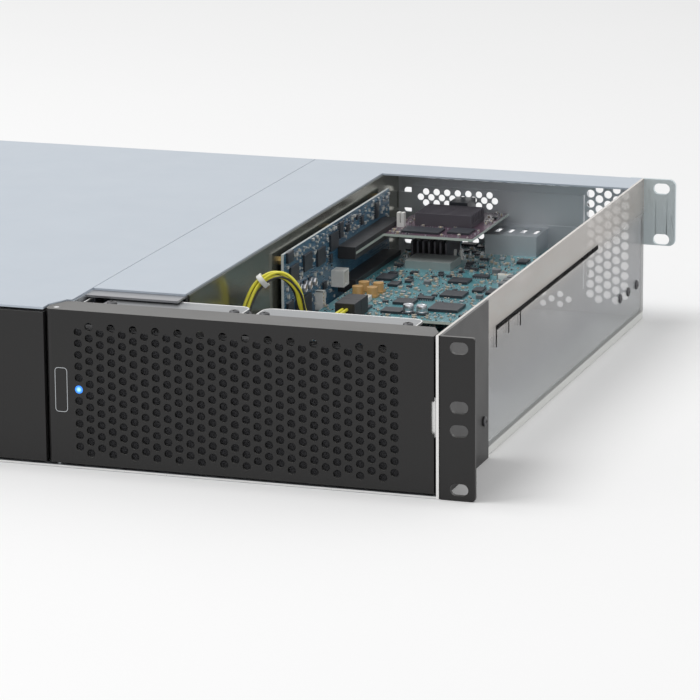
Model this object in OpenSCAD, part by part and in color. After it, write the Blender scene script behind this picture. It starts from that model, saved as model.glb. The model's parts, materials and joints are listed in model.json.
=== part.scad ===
// Two-unit rack chassis that carries expansion cards lying flat on a side riser.
// X runs across the front, Y from the front plane to the rear, Z up from the base.

/* [Rack] */
// Width over the rack ears
rack_w = 482.6; // [481:0.1:484]
// Height of the ears and of the covered body
panel_h = 88.1; // [87.8:0.1:90]
// Distance between the left and right rows of rack slots
rack_hole_w = 465.1; // [464:0.1:466]
// Height between the outer two slots of a front ear
ear_slot_outer = 76.2; // [75:0.1:77]
// Height between the inner two slots of a front ear
ear_slot_inner = 12.7; // [12:0.1:14]
// Length of a rack slot
slot_l = 10; // [8:0.5:11]
// Width of a rack slot
slot_w = 6.5; // [6:0.1:7.5]
// Thickness of a front ear
ear_t = 2.5; // [2:0.1:3]
// Thickness of the leg that fixes a front ear
leg_t = 1.6; // [1:0.1:2]
// Length of that leg along the side
leg_d = 86; // [60:1:110]
// Radius on the outer corners of the ears
ear_r = 2; // [1:0.5:3]
// Inner end of a rear ear, from the middle of the chassis
rear_ear_x = 212.5; // [212.5:0.5:216]
// Bottom of a rear ear
rear_ear_z = 46.5; // [44:0.5:47]
// Height between the two slots of a rear ear
rear_slot_h = 31.75; // [31:0.05:32]
// Thickness of a rear ear
rear_ear_t = 2; // [1.5:0.1:3]

/* [Shell] */
// Clear width between the side panels
inner_w = 439.8; // [436:0.1:442]
// Depth of the body from the front plane to the rear face
depth = 426; // [420:1:460]
// Thickness of the steel sheet
sheet_t = 1.2; // [1:0.1:1.3]
// Thickness of a side panel
wall_t = 1.5; // [1:0.1:1.7]
// Height of the flanges along the base
flange_h = 6; // [4:0.5:9]
// Width of the top flanges of the inner walls
top_flange = 6; // [4:0.5:8]
// Place of the wall between the device bay and the supply
bay_wall_x = 8.4; // [6:0.1:10]
// Left edge of the open card bay
card_bay_x = 62; // [61:0.5:63]
// Front edge of the top plate
strip_y = 51; // [50:0.5:56]
// Front edge of the rear strip of the top plate
rear_strip_y = 395; // [380:1:405]
// How far the cover support reaches forward of the top plate
ledge_l = 12; // [8:0.5:14]

/* [Door] */
// Depth of the door tray
door_d = 20; // [17:0.5:22]
// Thickness of the door sheet
door_t = 1.5; // [1:0.1:1.7]
// Left edge of the door
door_x0 = 0.6; // [0.4:0.1:1]
// Gap between the door and the side panel
door_gap = 1.1; // [0.8:0.1:2]
// Bottom edge of the door
door_z0 = 2.6; // [2.2:0.1:4]
// Top edge of the door
door_z1 = 87.6; // [86.5:0.1:87.6]
// Radius of the door's front left corner
door_r = 3.5; // [2:0.1:3.5]
// Cut across the rear corners of the door, along the depth
chamfer_d = 11; // [8:0.5:12]
// Cut across the rear corners of the door, along the width
chamfer_w = 5.4; // [3:0.1:6]
// Hinge line behind the door's front face
pivot_y = 4.9; // [4.9:0.1:5.4]
// Hinge line from the door's left edge
pivot_in = 4.9; // [4.9:0.1:5.4]
// Radius of the hinge pins
pin_r = 1.5; // [1.2:0.1:1.6]
// Distance between neighbouring holes of the grille
hole_pitch = 6.35; // [6:0.01:6.6]
// Width of a grille hole
hole_d = 4.6; // [3:0.1:5]
// Columns of holes in the door
hole_columns = 29; // [9:2:29]
// Holes in the first column
hole_rows = 11; // [5:2:11]
// First column from the middle of the chassis
hole_x0 = 19.4; // [19:0.1:20.4]
// Height of the finger notch
notch_h = 17.5; // [12:0.5:24]
// Depth of the finger notch
notch_w = 2.6; // [1.5:0.1:4]

/* [Fans] */
// Side of a cooling fan
fan_size = 80; // [78:0.5:80.5]
// Depth of a cooling fan
fan_d = 25; // [24:0.5:25]
// Middle of the left fan
fan_left_x = 62.2; // [61:0.1:62.5]
// Middle of the right fan
fan_right_x = 154.8; // [153:0.1:157]
// Distance between the screw holes of a cooling fan
fan_hole = 71.5; // [71:0.1:72]
// Radius of the air opening of a fan
fan_bore_r = 38.2; // [36:0.1:38.2]
// Radius of a fan's hub
hub_r = 17; // [14:0.5:20]
// Blades on a fan
blades = 7; // [5:1:7]
// Thickness of a blade
blade_t = 1.4; // [1:0.1:2]

/* [Cards] */
// Distance between neighbouring card slots
slot_pitch = 20.32; // [19.8:0.01:20.4]
// Component face of the card in the top slot
top_card_z = 61.1; // [60:0.1:61.5]
// Height of a full-height card from its contacts
card_h = 111.15; // [108:0.05:112]
// Thickness of the circuit boards
pcb_t = 1.6; // [1.4:0.1:1.8]
// Length of the card in the middle slot
long_card_l = 205.5; // [180:0.5:225]
// Length of the card in the top slot
short_card_l = 77; // [70:0.5:90]
// Height of the low-profile card in the top slot
short_card_h = 64.4; // [62:0.1:68.9]
// Height of the contacts below a card's edge
contact_h = 8.2; // [7.8:0.1:8.4]
// Width of a card bracket
bracket_w = 18.4; // [17.5:0.1:18.6]
// Thickness of a card bracket
bracket_t = 0.9; // [0.8:0.1:1]
// Face of the riser board that carries the slots
riser_x = 67.6; // [67:0.1:68]
// Front edge of the riser board
riser_y0 = 195; // [185:1:215]
// Rear edge of the riser board
riser_y1 = 392; // [388:1:400]
// Top edge of the riser board
riser_z1 = 79.5; // [77:0.5:81]

/* [Supply] */
// Width of the power supply, which stands on edge
psu_w = 42.4; // [42.4:0.1:44]
// Height of the power supply
psu_h = 81.5; // [79:0.5:82.5]
// Length of the power supply
psu_l = 150; // [130:1:170]
// Left side of the power supply
psu_x = 12.4; // [11:0.1:13]
// Side of the fan in the power supply
psu_fan = 40; // [38:0.5:40]

/* [Hidden] */

half_in = inner_w / 2;
half_out = half_in + wall_t;
leg_x = half_out + leg_t;
lid_z = panel_h - sheet_t;
mid_z = panel_h / 2;
seat_gap = 0.3;
run_gap = 0.05;
bulk_y = door_d + 0.8;
post_top = lid_z - 3;
rear_in = depth - sheet_t;
head_r = 2.8;
head_h = 1.5;
ledge_out = 11.6;
total_d = depth + ledge_out;
ear_gap = 1;
leg_screw = [77.4, 22.6];
round_n = 32;
hole_n = 24;

// Door
door_x1 = half_in - door_gap;
pivot_x = door_x0 + pivot_in;
notch_z0 = 35;
tab_z = 79.4;
tab_r = 3.1;
hole_dx = hole_pitch;
frame_x0 = door_x0 + 10.4;
frame_x1 = door_x1 - 15;
frame_z0 = door_z0 + door_t + 2;
frame_z1 = tab_z - 1.4;
frame_d = 8;
frame_w = 1.2;
pipe_r = 2.2;
pipe_z = mid_z;
magnet_x = [door_x1 - 13, door_x1 - 7];
magnet_z = [36, 52];

// Fans
fan_y = bulk_y + sheet_t;
fan_z = sheet_t + 1.8 + fan_size / 2;
bracket_top = fan_z + fan_size / 2 + 0.6;
bracket_margin = 0.2;
right_margin = 5.2;
bracket_y1 = fan_y + fan_d - 1;
bracket_r = 6;
shaft_r = 1.5;
hub_base_t = 3;

// Cards
contact_x0 = riser_x + 3;
card_x0 = contact_x0 + contact_h;
card_x1 = contact_x0 + card_h;
card_rear = rear_in - bracket_t - 0.3;
bracket_below = 4.1;
tab_x = card_x1 + 0.7;
bracket_x0 = card_bay_x + sheet_t + 0.8;
connector_h = 11.2;
connector_w = 7.5;
connector_y = [card_rear - 132, card_rear - 43];
contact_y = [connector_y[0] + 1.5, connector_y[1] - 1.5];
key_y = contact_y[1] - 12.6;
key_w = 1.9;
middle_z = top_card_z - slot_pitch;
bottom_z = middle_z - slot_pitch;
riser_z0 = 6;
cage_x = [128, 161];
cage_h = 12.6;
window_x = [67, 179];
window_h = 15.6;

// Supply
psu_wall = 1;
psu_y0 = rear_in - psu_l;
psu_mid = psu_x + psu_w / 2;
psu_z0 = sheet_t;
psu_fan_z = psu_z0 + psu_wall + psu_fan / 2 + 0.2;
psu_fan_d = 20;
psu_fan_y = rear_in - psu_wall - psu_fan_d;
psu_bore_r = psu_fan / 2 - 1.5;
psu_hub_r = 11;
inlet_z = psu_z0 + psu_h - 20;
harness_z = 34;

// Host board
host_z = 4.6;
host_y0 = depth - 96;
host_x = [84, 146];
port_x = [104, 122];
port_rise = 1.6;

// Routes of the power lead, chosen by hand
harness_r = 4;
harness_path = [
  [33.6, psu_y0 + 3, harness_z], [33.6, psu_y0 - 25, harness_z], [33.6, 200, 30],
  [33.6, 150, 30], [36, 122, 33], [48, 110, 35], [60, 108, 36], [67, 108, 36]
];
lead_r = 1.1;
plug_back = card_rear - long_card_l - 13;
lead_path = [
  [69.6, 108, 36.8], [71.6, 109.5, 41], [70, 115, 50], [69, 125, 61], [73, 132, 74], [81, 135, 81],
  [89, 136, 81], [96, 137.5, 73], [98.5, 142, 58], [100, 164, 47], [101, plug_back, middle_z + 5]
];
lead_offset = [[-1.3, 0, 1.3], [1.3, 0, 1.3], [0, 0, -1.4]];
tie_ring = 9;
socket_x = [95, 107];
socket_z = [middle_z, middle_z + 10];

// Screw places along the fan brackets and the rear ears
plate_screw_y = fan_y + 9;
plate_screw_in = 5;
ear_screw = [rear_ear_x + 3.6, 66.2];

// A box from its three pairs of limits
module block(x, y, z) {
  translate([x[0], y[0], z[0]]) cube([x[1] - x[0], y[1] - y[0], z[1] - z[0]]);
}

// A flat shape drawn in X and Z, made solid from y0 towards the rear
module upright(y0, t) {
  translate([0, y0 + t, 0]) rotate([90, 0, 0]) linear_extrude(t) children();
}

// A flat shape drawn in Y and Z, made solid from x0 to the right
module sideways(x0, t) {
  translate([x0, 0, 0]) rotate([90, 0, 90]) linear_extrude(t) children();
}

// A flat shape drawn in X and Y, made solid from z0 up
module flat(z0, t) {
  translate([0, 0, z0]) linear_extrude(t) children();
}

module rect(x, y) {
  translate([x[0], y[0]]) square([x[1] - x[0], y[1] - y[0]]);
}

module round_rect(x, y, r) {
  rect([x[0] + r, x[1] - r], y);
  rect(x, [y[0] + r, y[1] - r]);
  for (cx = [x[0] + r, x[1] - r], cy = [y[0] + r, y[1] - r]) {
    translate([cx, cy]) circle(r = r, $fn = round_n);
  }
}

module oblong(l, w) {
  rect([(w - l) / 2, (l - w) / 2], [-w / 2, w / 2]);
  for (s = [-1, 1]) {
    translate([s * (l - w) / 2, 0]) circle(d = w, $fn = round_n);
  }
}

// A lattice of round holes: columns stand a pitch apart and every second one is shifted
module lattice(x0, dx, columns, rows, pitch, d, z) {
  for (c = [0:columns - 1]) {
    n = rows + c % 2;
    for (r = [0:n - 1]) {
      translate([x0 + c * dx, z + (r - (n - 1) / 2) * pitch]) circle(d = d, $fn = hole_n);
    }
  }
}

// A pan-head screw whose head stands on a face at p and points along its outward direction
module screw(p, turn) {
  translate(p) rotate(turn) {
    difference() {
      cylinder(r = head_r, h = head_h, $fn = round_n);
      translate([0, 0, head_h - 0.8]) cylinder(r = 1.2, h = 1, $fn = 6);
    }
  }
}

// The piece as drawn on the right, or its mirror image on the left
module mirrored(side) {
  if (side < 0) mirror([1, 0, 0]) children();
  else children();
}

// Shell
module base_pan() {
  color([0.72, 0.74, 0.76]) {
    difference() {
      flat(0, sheet_t) rect([-half_in, half_in], [0.3, depth]);
      translate([pivot_x, pivot_y, -1]) {
        cylinder(r = pin_r + run_gap, h = sheet_t + 2, $fn = round_n);
      }
    }
    for (s = [-1, 1]) {
      mirrored(s) {
        block([half_in - sheet_t, half_in], [bulk_y + sheet_t, rear_in], [sheet_t, flange_h]);
      }
    }
  }
}

module side_panel(top) {
  sideways(half_in, wall_t) rect([0.3, depth], [0, top]);
}

module left_side_panel() {
  color([0.7, 0.73, 0.76]) mirrored(-1) side_panel(lid_z);
}

module right_side_panel() {
  color([0.75, 0.76, 0.76, 0.5]) side_panel(panel_h);
}

module slot_window(z) {
  low = z - bracket_below + bracket_w / 2 - window_h / 2;
  round_rect(window_x, [low, low + window_h], 2);
}

module tab_window(z) {
  low = z - bracket_below;
  rect([tab_x - run_gap, tab_x + bracket_t + 0.6], [low - 0.3, low + bracket_w + 0.3]);
}

module rear_panel() {
  color([0.66, 0.7, 0.72]) {
    upright(rear_in, sheet_t) difference() {
      rect([-half_in, half_in], [sheet_t, lid_z]);
      for (z = [bottom_z, middle_z, top_card_z]) {
        slot_window(z);
        tab_window(z);
      }
      lattice(187.8, hole_pitch * sin(60), 5, 11, hole_pitch, 5, 45);
      for (i = [0:10]) {
        translate([85 + i * 8.6, 81.2]) oblong(6.5, 1.6);
      }
      lattice(152, hole_pitch * sin(60), 5, 1, hole_pitch, 4, 8.6);
      for (x = port_x) {
        translate([x, host_z + pcb_t + port_rise]) oblong(9.2, 3.6);
      }
      rect([psu_x + 2, psu_x + psu_w - 2], [psu_z0 + 2, psu_z0 + psu_h - 2]);
      lattice(-204, hole_pitch, 15, 9, hole_pitch, 4.6, mid_z);
      round_rect([-92, -24], [14, 46], 4);
    }
    block([tab_x - sheet_t, tab_x], [depth, depth + ledge_out], [bottom_z - 6, top_card_z + 15.5]);
  }
}

module left_top_cover() {
  step = bulk_y + 0.6;
  color([0.77, 0.82, 0.86]) {
    flat(lid_z, sheet_t) {
      polygon([
        [-half_out, 0.3], [-0.4, 0.3], [-0.4, door_d - chamfer_d], [5, step], [bay_wall_x - 0.6, step],
        [bay_wall_x - 0.6, depth], [-half_out, depth]
      ]);
    }
    block([-half_in + 0.2, -half_in + 0.2 + sheet_t], [bulk_y + 8, rear_in - 2], [lid_z - 8, lid_z]);
  }
}

module bay_top_plate() {
  color([0.76, 0.81, 0.85]) {
    flat(lid_z, sheet_t) {
      rect([bay_wall_x - 0.2, card_bay_x], [strip_y, depth]);
      rect([card_bay_x, half_in], [rear_strip_y, depth]);
    }
  }
}

module centre_divider() {
  front = strip_y + 3;
  color([0.2, 0.21, 0.23]) {
    sideways(card_bay_x, sheet_t) difference() {
      rect([front, rear_in], [sheet_t, lid_z]);
      translate([108, 36]) circle(r = harness_r + 1.4, $fn = round_n);
    }
    block([card_bay_x - top_flange, card_bay_x], [front + 12, psu_y0 - 2], [lid_z - sheet_t, lid_z]);
    block([card_bay_x - top_flange, card_bay_x], [front + 12, psu_y0 - 2], [sheet_t, 2 * sheet_t]);
  }
}

module device_bay_wall() {
  left = bay_wall_x - sheet_t;
  color([0.62, 0.65, 0.67]) {
    block([left, bay_wall_x], [bulk_y, rear_in], [sheet_t, lid_z]);
    block([-14, left], [bulk_y, bulk_y + sheet_t], [sheet_t, post_top]);
    block([left - 12, left], [bulk_y + 1.4, rear_in], [lid_z - sheet_t, lid_z]);
    flat(tab_z, sheet_t) difference() {
      union() {
        rect([pivot_x - 2.2, left], [pivot_y, bulk_y + sheet_t / 2]);
        translate([pivot_x, pivot_y]) circle(r = tab_r, $fn = round_n);
      }
      translate([pivot_x, pivot_y]) circle(r = pin_r + run_gap, $fn = round_n);
    }
  }
}

module cover_support() {
  x = [bay_wall_x, card_bay_x];
  y = [strip_y - ledge_l, strip_y + 11];
  back = [fan_y + fan_d + 3, strip_y + 11];
  color([0.66, 0.69, 0.72]) {
    block(x, y, [lid_z - sheet_t, lid_z]);
    block([x[0], x[0] + sheet_t], back, [60, lid_z - sheet_t]);
    block([x[1] - sheet_t, x[1]], [strip_y + 3, back[1]], [60, lid_z - sheet_t]);
  }
}

module front_post(side) {
  color([0.62, 0.65, 0.67]) mirrored(side) {
    block([half_in - 15, half_in], [bulk_y, bulk_y + sheet_t], [sheet_t, post_top]);
    block([half_in - sheet_t, half_in], [bulk_y + sheet_t, 60], [flange_h + 1, lid_z - 9]);
  }
}

// Rack ears
module front_ear(side) {
  inner = half_out + ear_gap;
  color([0.16, 0.16, 0.17]) mirrored(side) {
    upright(0, ear_t) difference() {
      union() {
        round_rect([inner, rack_w / 2], [0, panel_h], ear_r);
        rect([inner, inner + ear_r], [0, panel_h]);
      }
      for (h = [ear_slot_outer, ear_slot_inner], s = [-1, 1]) {
        translate([rack_hole_w / 2, mid_z + s * h / 2]) oblong(slot_l, slot_w);
      }
    }
    block([half_out, leg_x], [0.8, leg_d], [0, panel_h]);
  }
}

module rear_ear(side) {
  high = mid_z + ear_slot_outer / 2;
  color([0.56, 0.6, 0.6]) mirrored(side) {
    upright(depth, rear_ear_t) difference() {
      union() {
        round_rect([rear_ear_x, rack_w / 2], [rear_ear_z, panel_h], 4);
        rect([rear_ear_x, rear_ear_x + 4], [rear_ear_z, panel_h]);
      }
      for (z = [high, high - rear_slot_h]) {
        translate([rack_hole_w / 2, z]) oblong(slot_l, slot_w);
      }
    }
  }
}

// Front
module blank_panel() {
  x = [-half_in + door_gap, -0.4];
  z = [door_z0, lid_z - 1.5];
  color([0.2, 0.2, 0.21]) difference() {
    block(x, [0, bulk_y], z);
    block([x[0] + door_t, x[1] - door_t], [door_t, bulk_y + 1], [z[0] + door_t, z[1] - door_t]);
  }
}

module door_outline(inset) {
  x0 = door_x0 + inset;
  x1 = door_x1 - inset;
  y0 = inset;
  r = door_r - inset;
  difference() {
    polygon([
      [x0, y0], [x1, y0], [x1, door_d - chamfer_d], [x1 - chamfer_w, door_d],
      [x0 + chamfer_w, door_d], [x0, door_d - chamfer_d]
    ]);
    difference() {
      rect([x0 - 1, x0 + r], [y0 - 1, y0 + r]);
      translate([x0 + r, y0 + r]) circle(r = r, $fn = round_n);
    }
  }
}

module front_door() {
  z = [door_z0, door_z1];
  face_x = [door_x0 + door_r, door_x1 - door_t];
  color([0.17, 0.17, 0.18]) {
    upright(0, door_t) difference() {
      rect(face_x, z);
      lattice(hole_x0, hole_dx, hole_columns, hole_rows, hole_pitch, hole_d, mid_z);
    }
    difference() {
      flat(z[0], z[1] - z[0]) difference() {
        door_outline(0);
        door_outline(door_t);
        rect(face_x, [-1, door_t]);
        rect([door_x0 + 2 * chamfer_w, door_x1 - 2 * chamfer_w], [door_t, door_d + 1]);
      }
      block([door_x1 - notch_w, door_x1 + 1], [-1, door_d], [notch_z0, notch_z0 + notch_h]);
      block([door_x0 - 1, pivot_x + tab_r], [pivot_y - tab_r - seat_gap, door_d + 1],
            [tab_z - 0.5, tab_z + sheet_t + 0.5]);
    }
    for (z0 = [z[0], z[1] - door_t]) {
      flat(z0, door_t) difference() {
        door_outline(door_t);
        translate([pivot_x, pivot_y]) circle(r = pin_r, $fn = round_n);
      }
    }
  }
}

module door_hinge_pins() {
  color([0.8, 0.8, 0.8]) {
    translate([pivot_x, pivot_y, 0.2]) cylinder(r = pin_r, h = door_z0 + door_t - 0.2 + 1, $fn = round_n);
    translate([pivot_x, pivot_y, tab_z - 1]) cylinder(r = pin_r, h = door_z1 - tab_z + 1, $fn = round_n);
  }
}

module filter_frame() {
  color([0.1, 0.1, 0.1]) {
    upright(door_t, frame_d) difference() {
      rect([frame_x0, frame_x1], [frame_z0, frame_z1]);
      rect([frame_x0 + frame_w, frame_x1 - frame_w], [frame_z0 + frame_w, frame_z1 - frame_w]);
    }
    upright(door_t + frame_d - frame_w, frame_w) {
      for (i = [1:4]) {
        x = frame_x0 + i * (frame_x1 - frame_x0) / 5;
        rect([x - 1, x + 1], [frame_z0 + frame_w, frame_z1 - frame_w]);
      }
    }
  }
}

module door_filter() {
  x = [frame_x0 + frame_w, frame_x1 - frame_w];
  z = [frame_z0 + frame_w, frame_z1 - frame_w];
  color([0.12, 0.12, 0.12]) upright(door_t + seat_gap, frame_d - frame_w - 2 * seat_gap) difference() {
    rect(x, z);
    translate([hole_x0, pipe_z]) circle(r = pipe_r + 1.6, $fn = round_n);
  }
}

module door_magnet() {
  color([0.5, 0.5, 0.52]) block(magnet_x, [door_t, door_d + seat_gap], magnet_z);
}

module light_pipe() {
  color([0.3, 0.7, 1, 0.6]) translate([hole_x0, 0, pipe_z]) rotate([-90, 0, 0]) {
    cylinder(r = pipe_r, h = door_d - 1, $fn = hole_n);
    translate([0, 0, door_t]) cylinder(r = pipe_r + 1, h = 1.2, $fn = hole_n);
  }
}

module status_lamp() {
  y = fan_y;
  color([0.6, 0.85, 1]) {
    translate([hole_x0 - 2.4, door_d, pipe_z]) rotate([-90, 0, 0])
      cylinder(r = 1.5, h = y - door_d, $fn = hole_n);
    block([hole_x0 - 6.4, hole_x0 + 1.6], [y, y + 1.2], [pipe_z - 7, pipe_z + 7]);
  }
}

// Fans
module fan_bracket(x0, x1, xc, lamp) {
  color([0.72, 0.74, 0.76]) {
    upright(bulk_y, sheet_t) difference() {
      union() {
        rect([x0, x1], [sheet_t, bracket_top]);
        if (lamp) rect([hole_x0 - 9, x0], [pipe_z - 9, pipe_z + 9]);
      }
      translate([xc, fan_z]) circle(r = fan_bore_r, $fn = 96);
      for (sx = [-1, 1], sz = [-1, 1]) {
        translate([xc + sx * fan_hole / 2, fan_z + sz * fan_hole / 2]) circle(r = 2.2, $fn = hole_n);
      }
      if (lamp) translate([hole_x0 - 2.4, pipe_z]) circle(r = 1.7, $fn = hole_n);
    }
    flat(bracket_top, sheet_t) difference() {
      union() {
        rect([x0, x1], [bulk_y, bracket_y1 - bracket_r]);
        round_rect([x0, x1], [bulk_y + 2, bracket_y1], bracket_r);
      }
      for (x = [x0 + plate_screw_in, x1 - plate_screw_in]) {
        translate([x, plate_screw_y]) circle(r = 1.5, $fn = hole_n);
      }
    }
    block([x0, x1], [fan_y, bracket_y1 - 8], [sheet_t, 2 * sheet_t]);
  }
}

module axial_frame(size, d, bore, hole, hole_r, hub, skin) {
  color([0.09, 0.09, 0.1]) {
    for (y = [0, d - skin]) {
      upright(y, skin) difference() {
        round_rect([-size / 2, size / 2], [-size / 2, size / 2], size / 20);
        circle(r = bore, $fn = 96);
        for (sx = [-1, 1], sz = [-1, 1]) {
          translate([sx * hole / 2, sz * hole / 2]) circle(r = hole_r, $fn = hole_n);
        }
      }
    }
    upright(skin, d - 2 * skin) {
      difference() {
        union() {
          circle(r = size / 2, $fn = 96);
          for (sx = [-1, 1], sz = [-1, 1]) {
            translate([sx * hole / 2, sz * hole / 2]) circle(r = hole_r + 1.6, $fn = hole_n);
          }
        }
        circle(r = bore, $fn = 96);
        for (sx = [-1, 1], sz = [-1, 1]) {
          translate([sx * hole / 2, sz * hole / 2]) circle(r = hole_r, $fn = hole_n);
        }
      }
    }
    upright(d - hub_base_t, hub_base_t) difference() {
      union() {
        circle(r = hub - 1, $fn = 64);
        for (a = [45:90:315]) {
          rotate(a) rect([hub - 3, bore + 0.5], [-size / 40, size / 40]);
        }
      }
      circle(r = shaft_r + run_gap, $fn = round_n);
    }
    upright(d - hub_base_t - 8, 8) difference() {
      circle(r = 4, $fn = round_n);
      circle(r = shaft_r + run_gap, $fn = round_n);
    }
  }
}

// A blade is a curved strip along the radius, trimmed by the ring that it sweeps
module axial_rotor(d, tip, hub, wide, count) {
  pitch = 40;
  reach = wide * cos(pitch);
  bend = wide * 1.2;
  cup = d - hub_base_t - 3;
  mid = (d - hub_base_t) / 2;
  color([0.07, 0.07, 0.08]) {
    rotate([-90, 0, 0]) difference() {
      translate([0, 0, 1.5]) cylinder(r = hub, h = cup, $fn = 64);
      translate([0, 0, 3.5]) cylinder(r = hub - 1.5, h = cup, $fn = 64);
    }
    rotate([-90, 0, 0]) translate([0, 0, 2]) cylinder(r = shaft_r, h = d - 3, $fn = round_n);
    intersection() {
      rotate([-90, 0, 0]) difference() {
        translate([0, 0, 1.8]) cylinder(r = tip, h = d - hub_base_t - 3.6, $fn = 96);
        translate([0, 0, 1]) cylinder(r = hub - 0.4, h = d, $fn = 64);
      }
      union() {
        for (i = [0:count - 1]) {
          rotate([0, i * 360 / count, 0]) sideways(hub - 2, tip) intersection() {
            translate([mid + bend * cos(pitch), -bend * sin(pitch)]) difference() {
              circle(r = bend + blade_t / 2, $fn = 96);
              circle(r = bend - blade_t / 2, $fn = 96);
            }
            rect([0, d - hub_base_t], [-reach / 2, reach / 2]);
          }
        }
      }
    }
  }
}

module at_fan(xc) {
  translate([xc, fan_y, fan_z]) children();
}

module at_psu_fan() {
  translate([psu_mid, psu_fan_y, psu_fan_z]) children();
}

module fan_bracket_left() {
  half = fan_size / 2 + bracket_margin;
  fan_bracket(fan_left_x - half, fan_left_x + half, fan_left_x, true);
}

module fan_bracket_right() {
  half = fan_size / 2 + right_margin;
  fan_bracket(fan_right_x - half, fan_right_x + half, fan_right_x, false);
}

module fan_frame(xc) {
  at_fan(xc) axial_frame(fan_size, fan_d, fan_bore_r, fan_hole, 2.2, hub_r, 3.5);
}

module fan_rotor(xc) {
  at_fan(xc) axial_rotor(fan_d, fan_bore_r - 0.8, hub_r, 24, blades);
}

module psu_fan_frame() {
  at_psu_fan() axial_frame(psu_fan, psu_fan_d, psu_bore_r, psu_fan - 8, 1.6, psu_hub_r, 2.5);
}

module psu_fan_rotor() {
  at_psu_fan() axial_rotor(psu_fan_d, psu_bore_r - 0.6, psu_hub_r, 14, 5);
}

// Riser and boards
module riser_board() {
  color([0.1, 0.26, 0.38]) sideways(riser_x - pcb_t, pcb_t) rect([riser_y0, riser_y1], [riser_z0, riser_z1]);
}

module board_standoffs() {
  color([0.75, 0.72, 0.6]) {
    for (y = [riser_y0 + 6, (riser_y0 + riser_y1) / 2, riser_y1 - 6], z = [riser_z0 + 5, riser_z1 - 5]) {
      translate([card_bay_x + sheet_t, y, z]) rotate([0, 90, 0]) {
        cylinder(r = 2.5, h = riser_x - pcb_t - card_bay_x - sheet_t, $fn = round_n);
      }
    }
    for (x = [host_x[0] + 5, host_x[1] - 5], y = [host_y0 + 5, rear_in - 22]) {
      translate([x, y, sheet_t]) cylinder(r = 2.5, h = host_z - sheet_t, $fn = round_n);
    }
  }
}

module slot_connectors() {
  color([0.1, 0.1, 0.12]) {
    for (z = [bottom_z, middle_z, top_card_z]) {
      mid = z - pcb_t / 2;
      difference() {
        block([riser_x, riser_x + connector_h], connector_y, [mid - connector_w / 2, mid + connector_w / 2]);
        block([contact_x0 - 0.3, riser_x + connector_h + 1], [contact_y[0] - 0.2, key_y - key_w / 2 + 0.2],
          [z - pcb_t - run_gap, z + run_gap]);
        block([contact_x0 - 0.3, riser_x + connector_h + 1], [key_y + key_w / 2 - 0.2, contact_y[1] + 0.2],
          [z - pcb_t - run_gap, z + run_gap]);
      }
    }
  }
}

module riser_header() {
  y = connector_y[0] - 12.6;
  z = 42;
  color([0.93, 0.93, 0.9]) difference() {
    block([riser_x, riser_x + 8], [y, y + 10], [z, z + 10]);
    block([riser_x + 2, riser_x + 9], [y + 1, y + 9], [z + 1, z + 9]);
  }
}

module riser_chips() {
  color([0.12, 0.13, 0.15]) {
    for (p = [[9, 60], [33, 62], [57, 60], [81, 64]]) {
      block([riser_x, riser_x + 1.4], [riser_y0 + p[0], riser_y0 + p[0] + 14], [p[1], p[1] + 10]);
    }
    block([riser_x, riser_x + 2.2], [riser_y0 + 19, riser_y0 + 43], [24, 48]);
  }
}

module card_rail() {
  x = [half_in - 3, half_in];
  color([0.12, 0.11, 0.11]) {
    difference() {
      block(x, [110, 324], [65, 68]);
      for (y = [286, 298, 310]) {
        block([x[0] - 1, x[1] + 1], [y, y + 3], [66.6, 69]);
      }
    }
    block(x, [110, 112.5], [55.5, 65]);
    block(x, [134, 136.5], [58, 65]);
    block(x, [157, 159.5], [57, 65]);
  }
}

// The board of a card of a given length and height, its component face at z
module card_board(z, l, h, tint) {
  color(tint) flat(z - pcb_t, pcb_t) {
    rect([card_x0, contact_x0 + h], [card_rear - l, card_rear]);
    rect([contact_x0, card_x0], [contact_y[0], key_y - key_w / 2]);
    rect([contact_x0, card_x0], [key_y + key_w / 2, contact_y[1]]);
  }
}

module long_card_board() {
  card_board(middle_z, long_card_l, card_h, [0.25, 0.5, 0.55]);
}

module short_card_board() {
  card_board(top_card_z, short_card_l, short_card_h, [0.2, 0.15, 0.22]);
}

// A bracket: a plate behind the panel, a narrow tongue, and a tab bent to the rear
module card_bracket(z) {
  low = z - bracket_below;
  plate = rear_in - bracket_t;
  color([0.78, 0.79, 0.8]) {
    upright(plate, bracket_t) difference() {
      union() {
        rect([bracket_x0 + 8, tab_x + bracket_t], [low, low + bracket_w]);
        rect([bracket_x0, bracket_x0 + 8], [low + 4, low + 14]);
      }
      children();
    }
    sideways(tab_x, bracket_t) difference() {
      rect([plate, depth + ledge_out - 0.4], [low, low + bracket_w]);
      translate([depth + 6, low + bracket_w / 2]) circle(r = 1.8, $fn = hole_n);
    }
  }
}

module long_card_bracket() {
  mid = middle_z - bracket_below + bracket_w / 2;
  card_bracket(middle_z) {
    cage_cells();
    lattice(76, 3.45, 13, 1, 7, 4.2, mid);
  }
}

module short_card_bracket() {
  mid = top_card_z - bracket_below + bracket_w / 2;
  card_bracket(top_card_z) {
    lattice(78, 3.45, 15, 1, 7, 4.2, mid + 2.2);
  }
}

module slot_cover() {
  card_bracket(bottom_z);
}

// The two cells of the port cage, drawn in X and Z
module cage_cells() {
  for (x = [cage_x[0] + 0.8, (cage_x[0] + cage_x[1]) / 2 + 0.4]) {
    rect([x, x + (cage_x[1] - cage_x[0]) / 2 - 1.2], [middle_z + 1, middle_z + cage_h - 0.8]);
  }
}

module long_card_ports() {
  color([0.75, 0.75, 0.77]) difference() {
    block(cage_x, [card_rear - 27, rear_in - bracket_t], [middle_z, middle_z + cage_h]);
    upright(card_rear - 22, 30) cage_cells();
    for (i = [0:3]) {
      block([cage_x[0] + 3.5 + i * 8, cage_x[0] + 6.5 + i * 8], [card_rear - 18, card_rear - 6],
        [middle_z + cage_h - 1, middle_z + cage_h + 1]);
    }
  }
}

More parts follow.
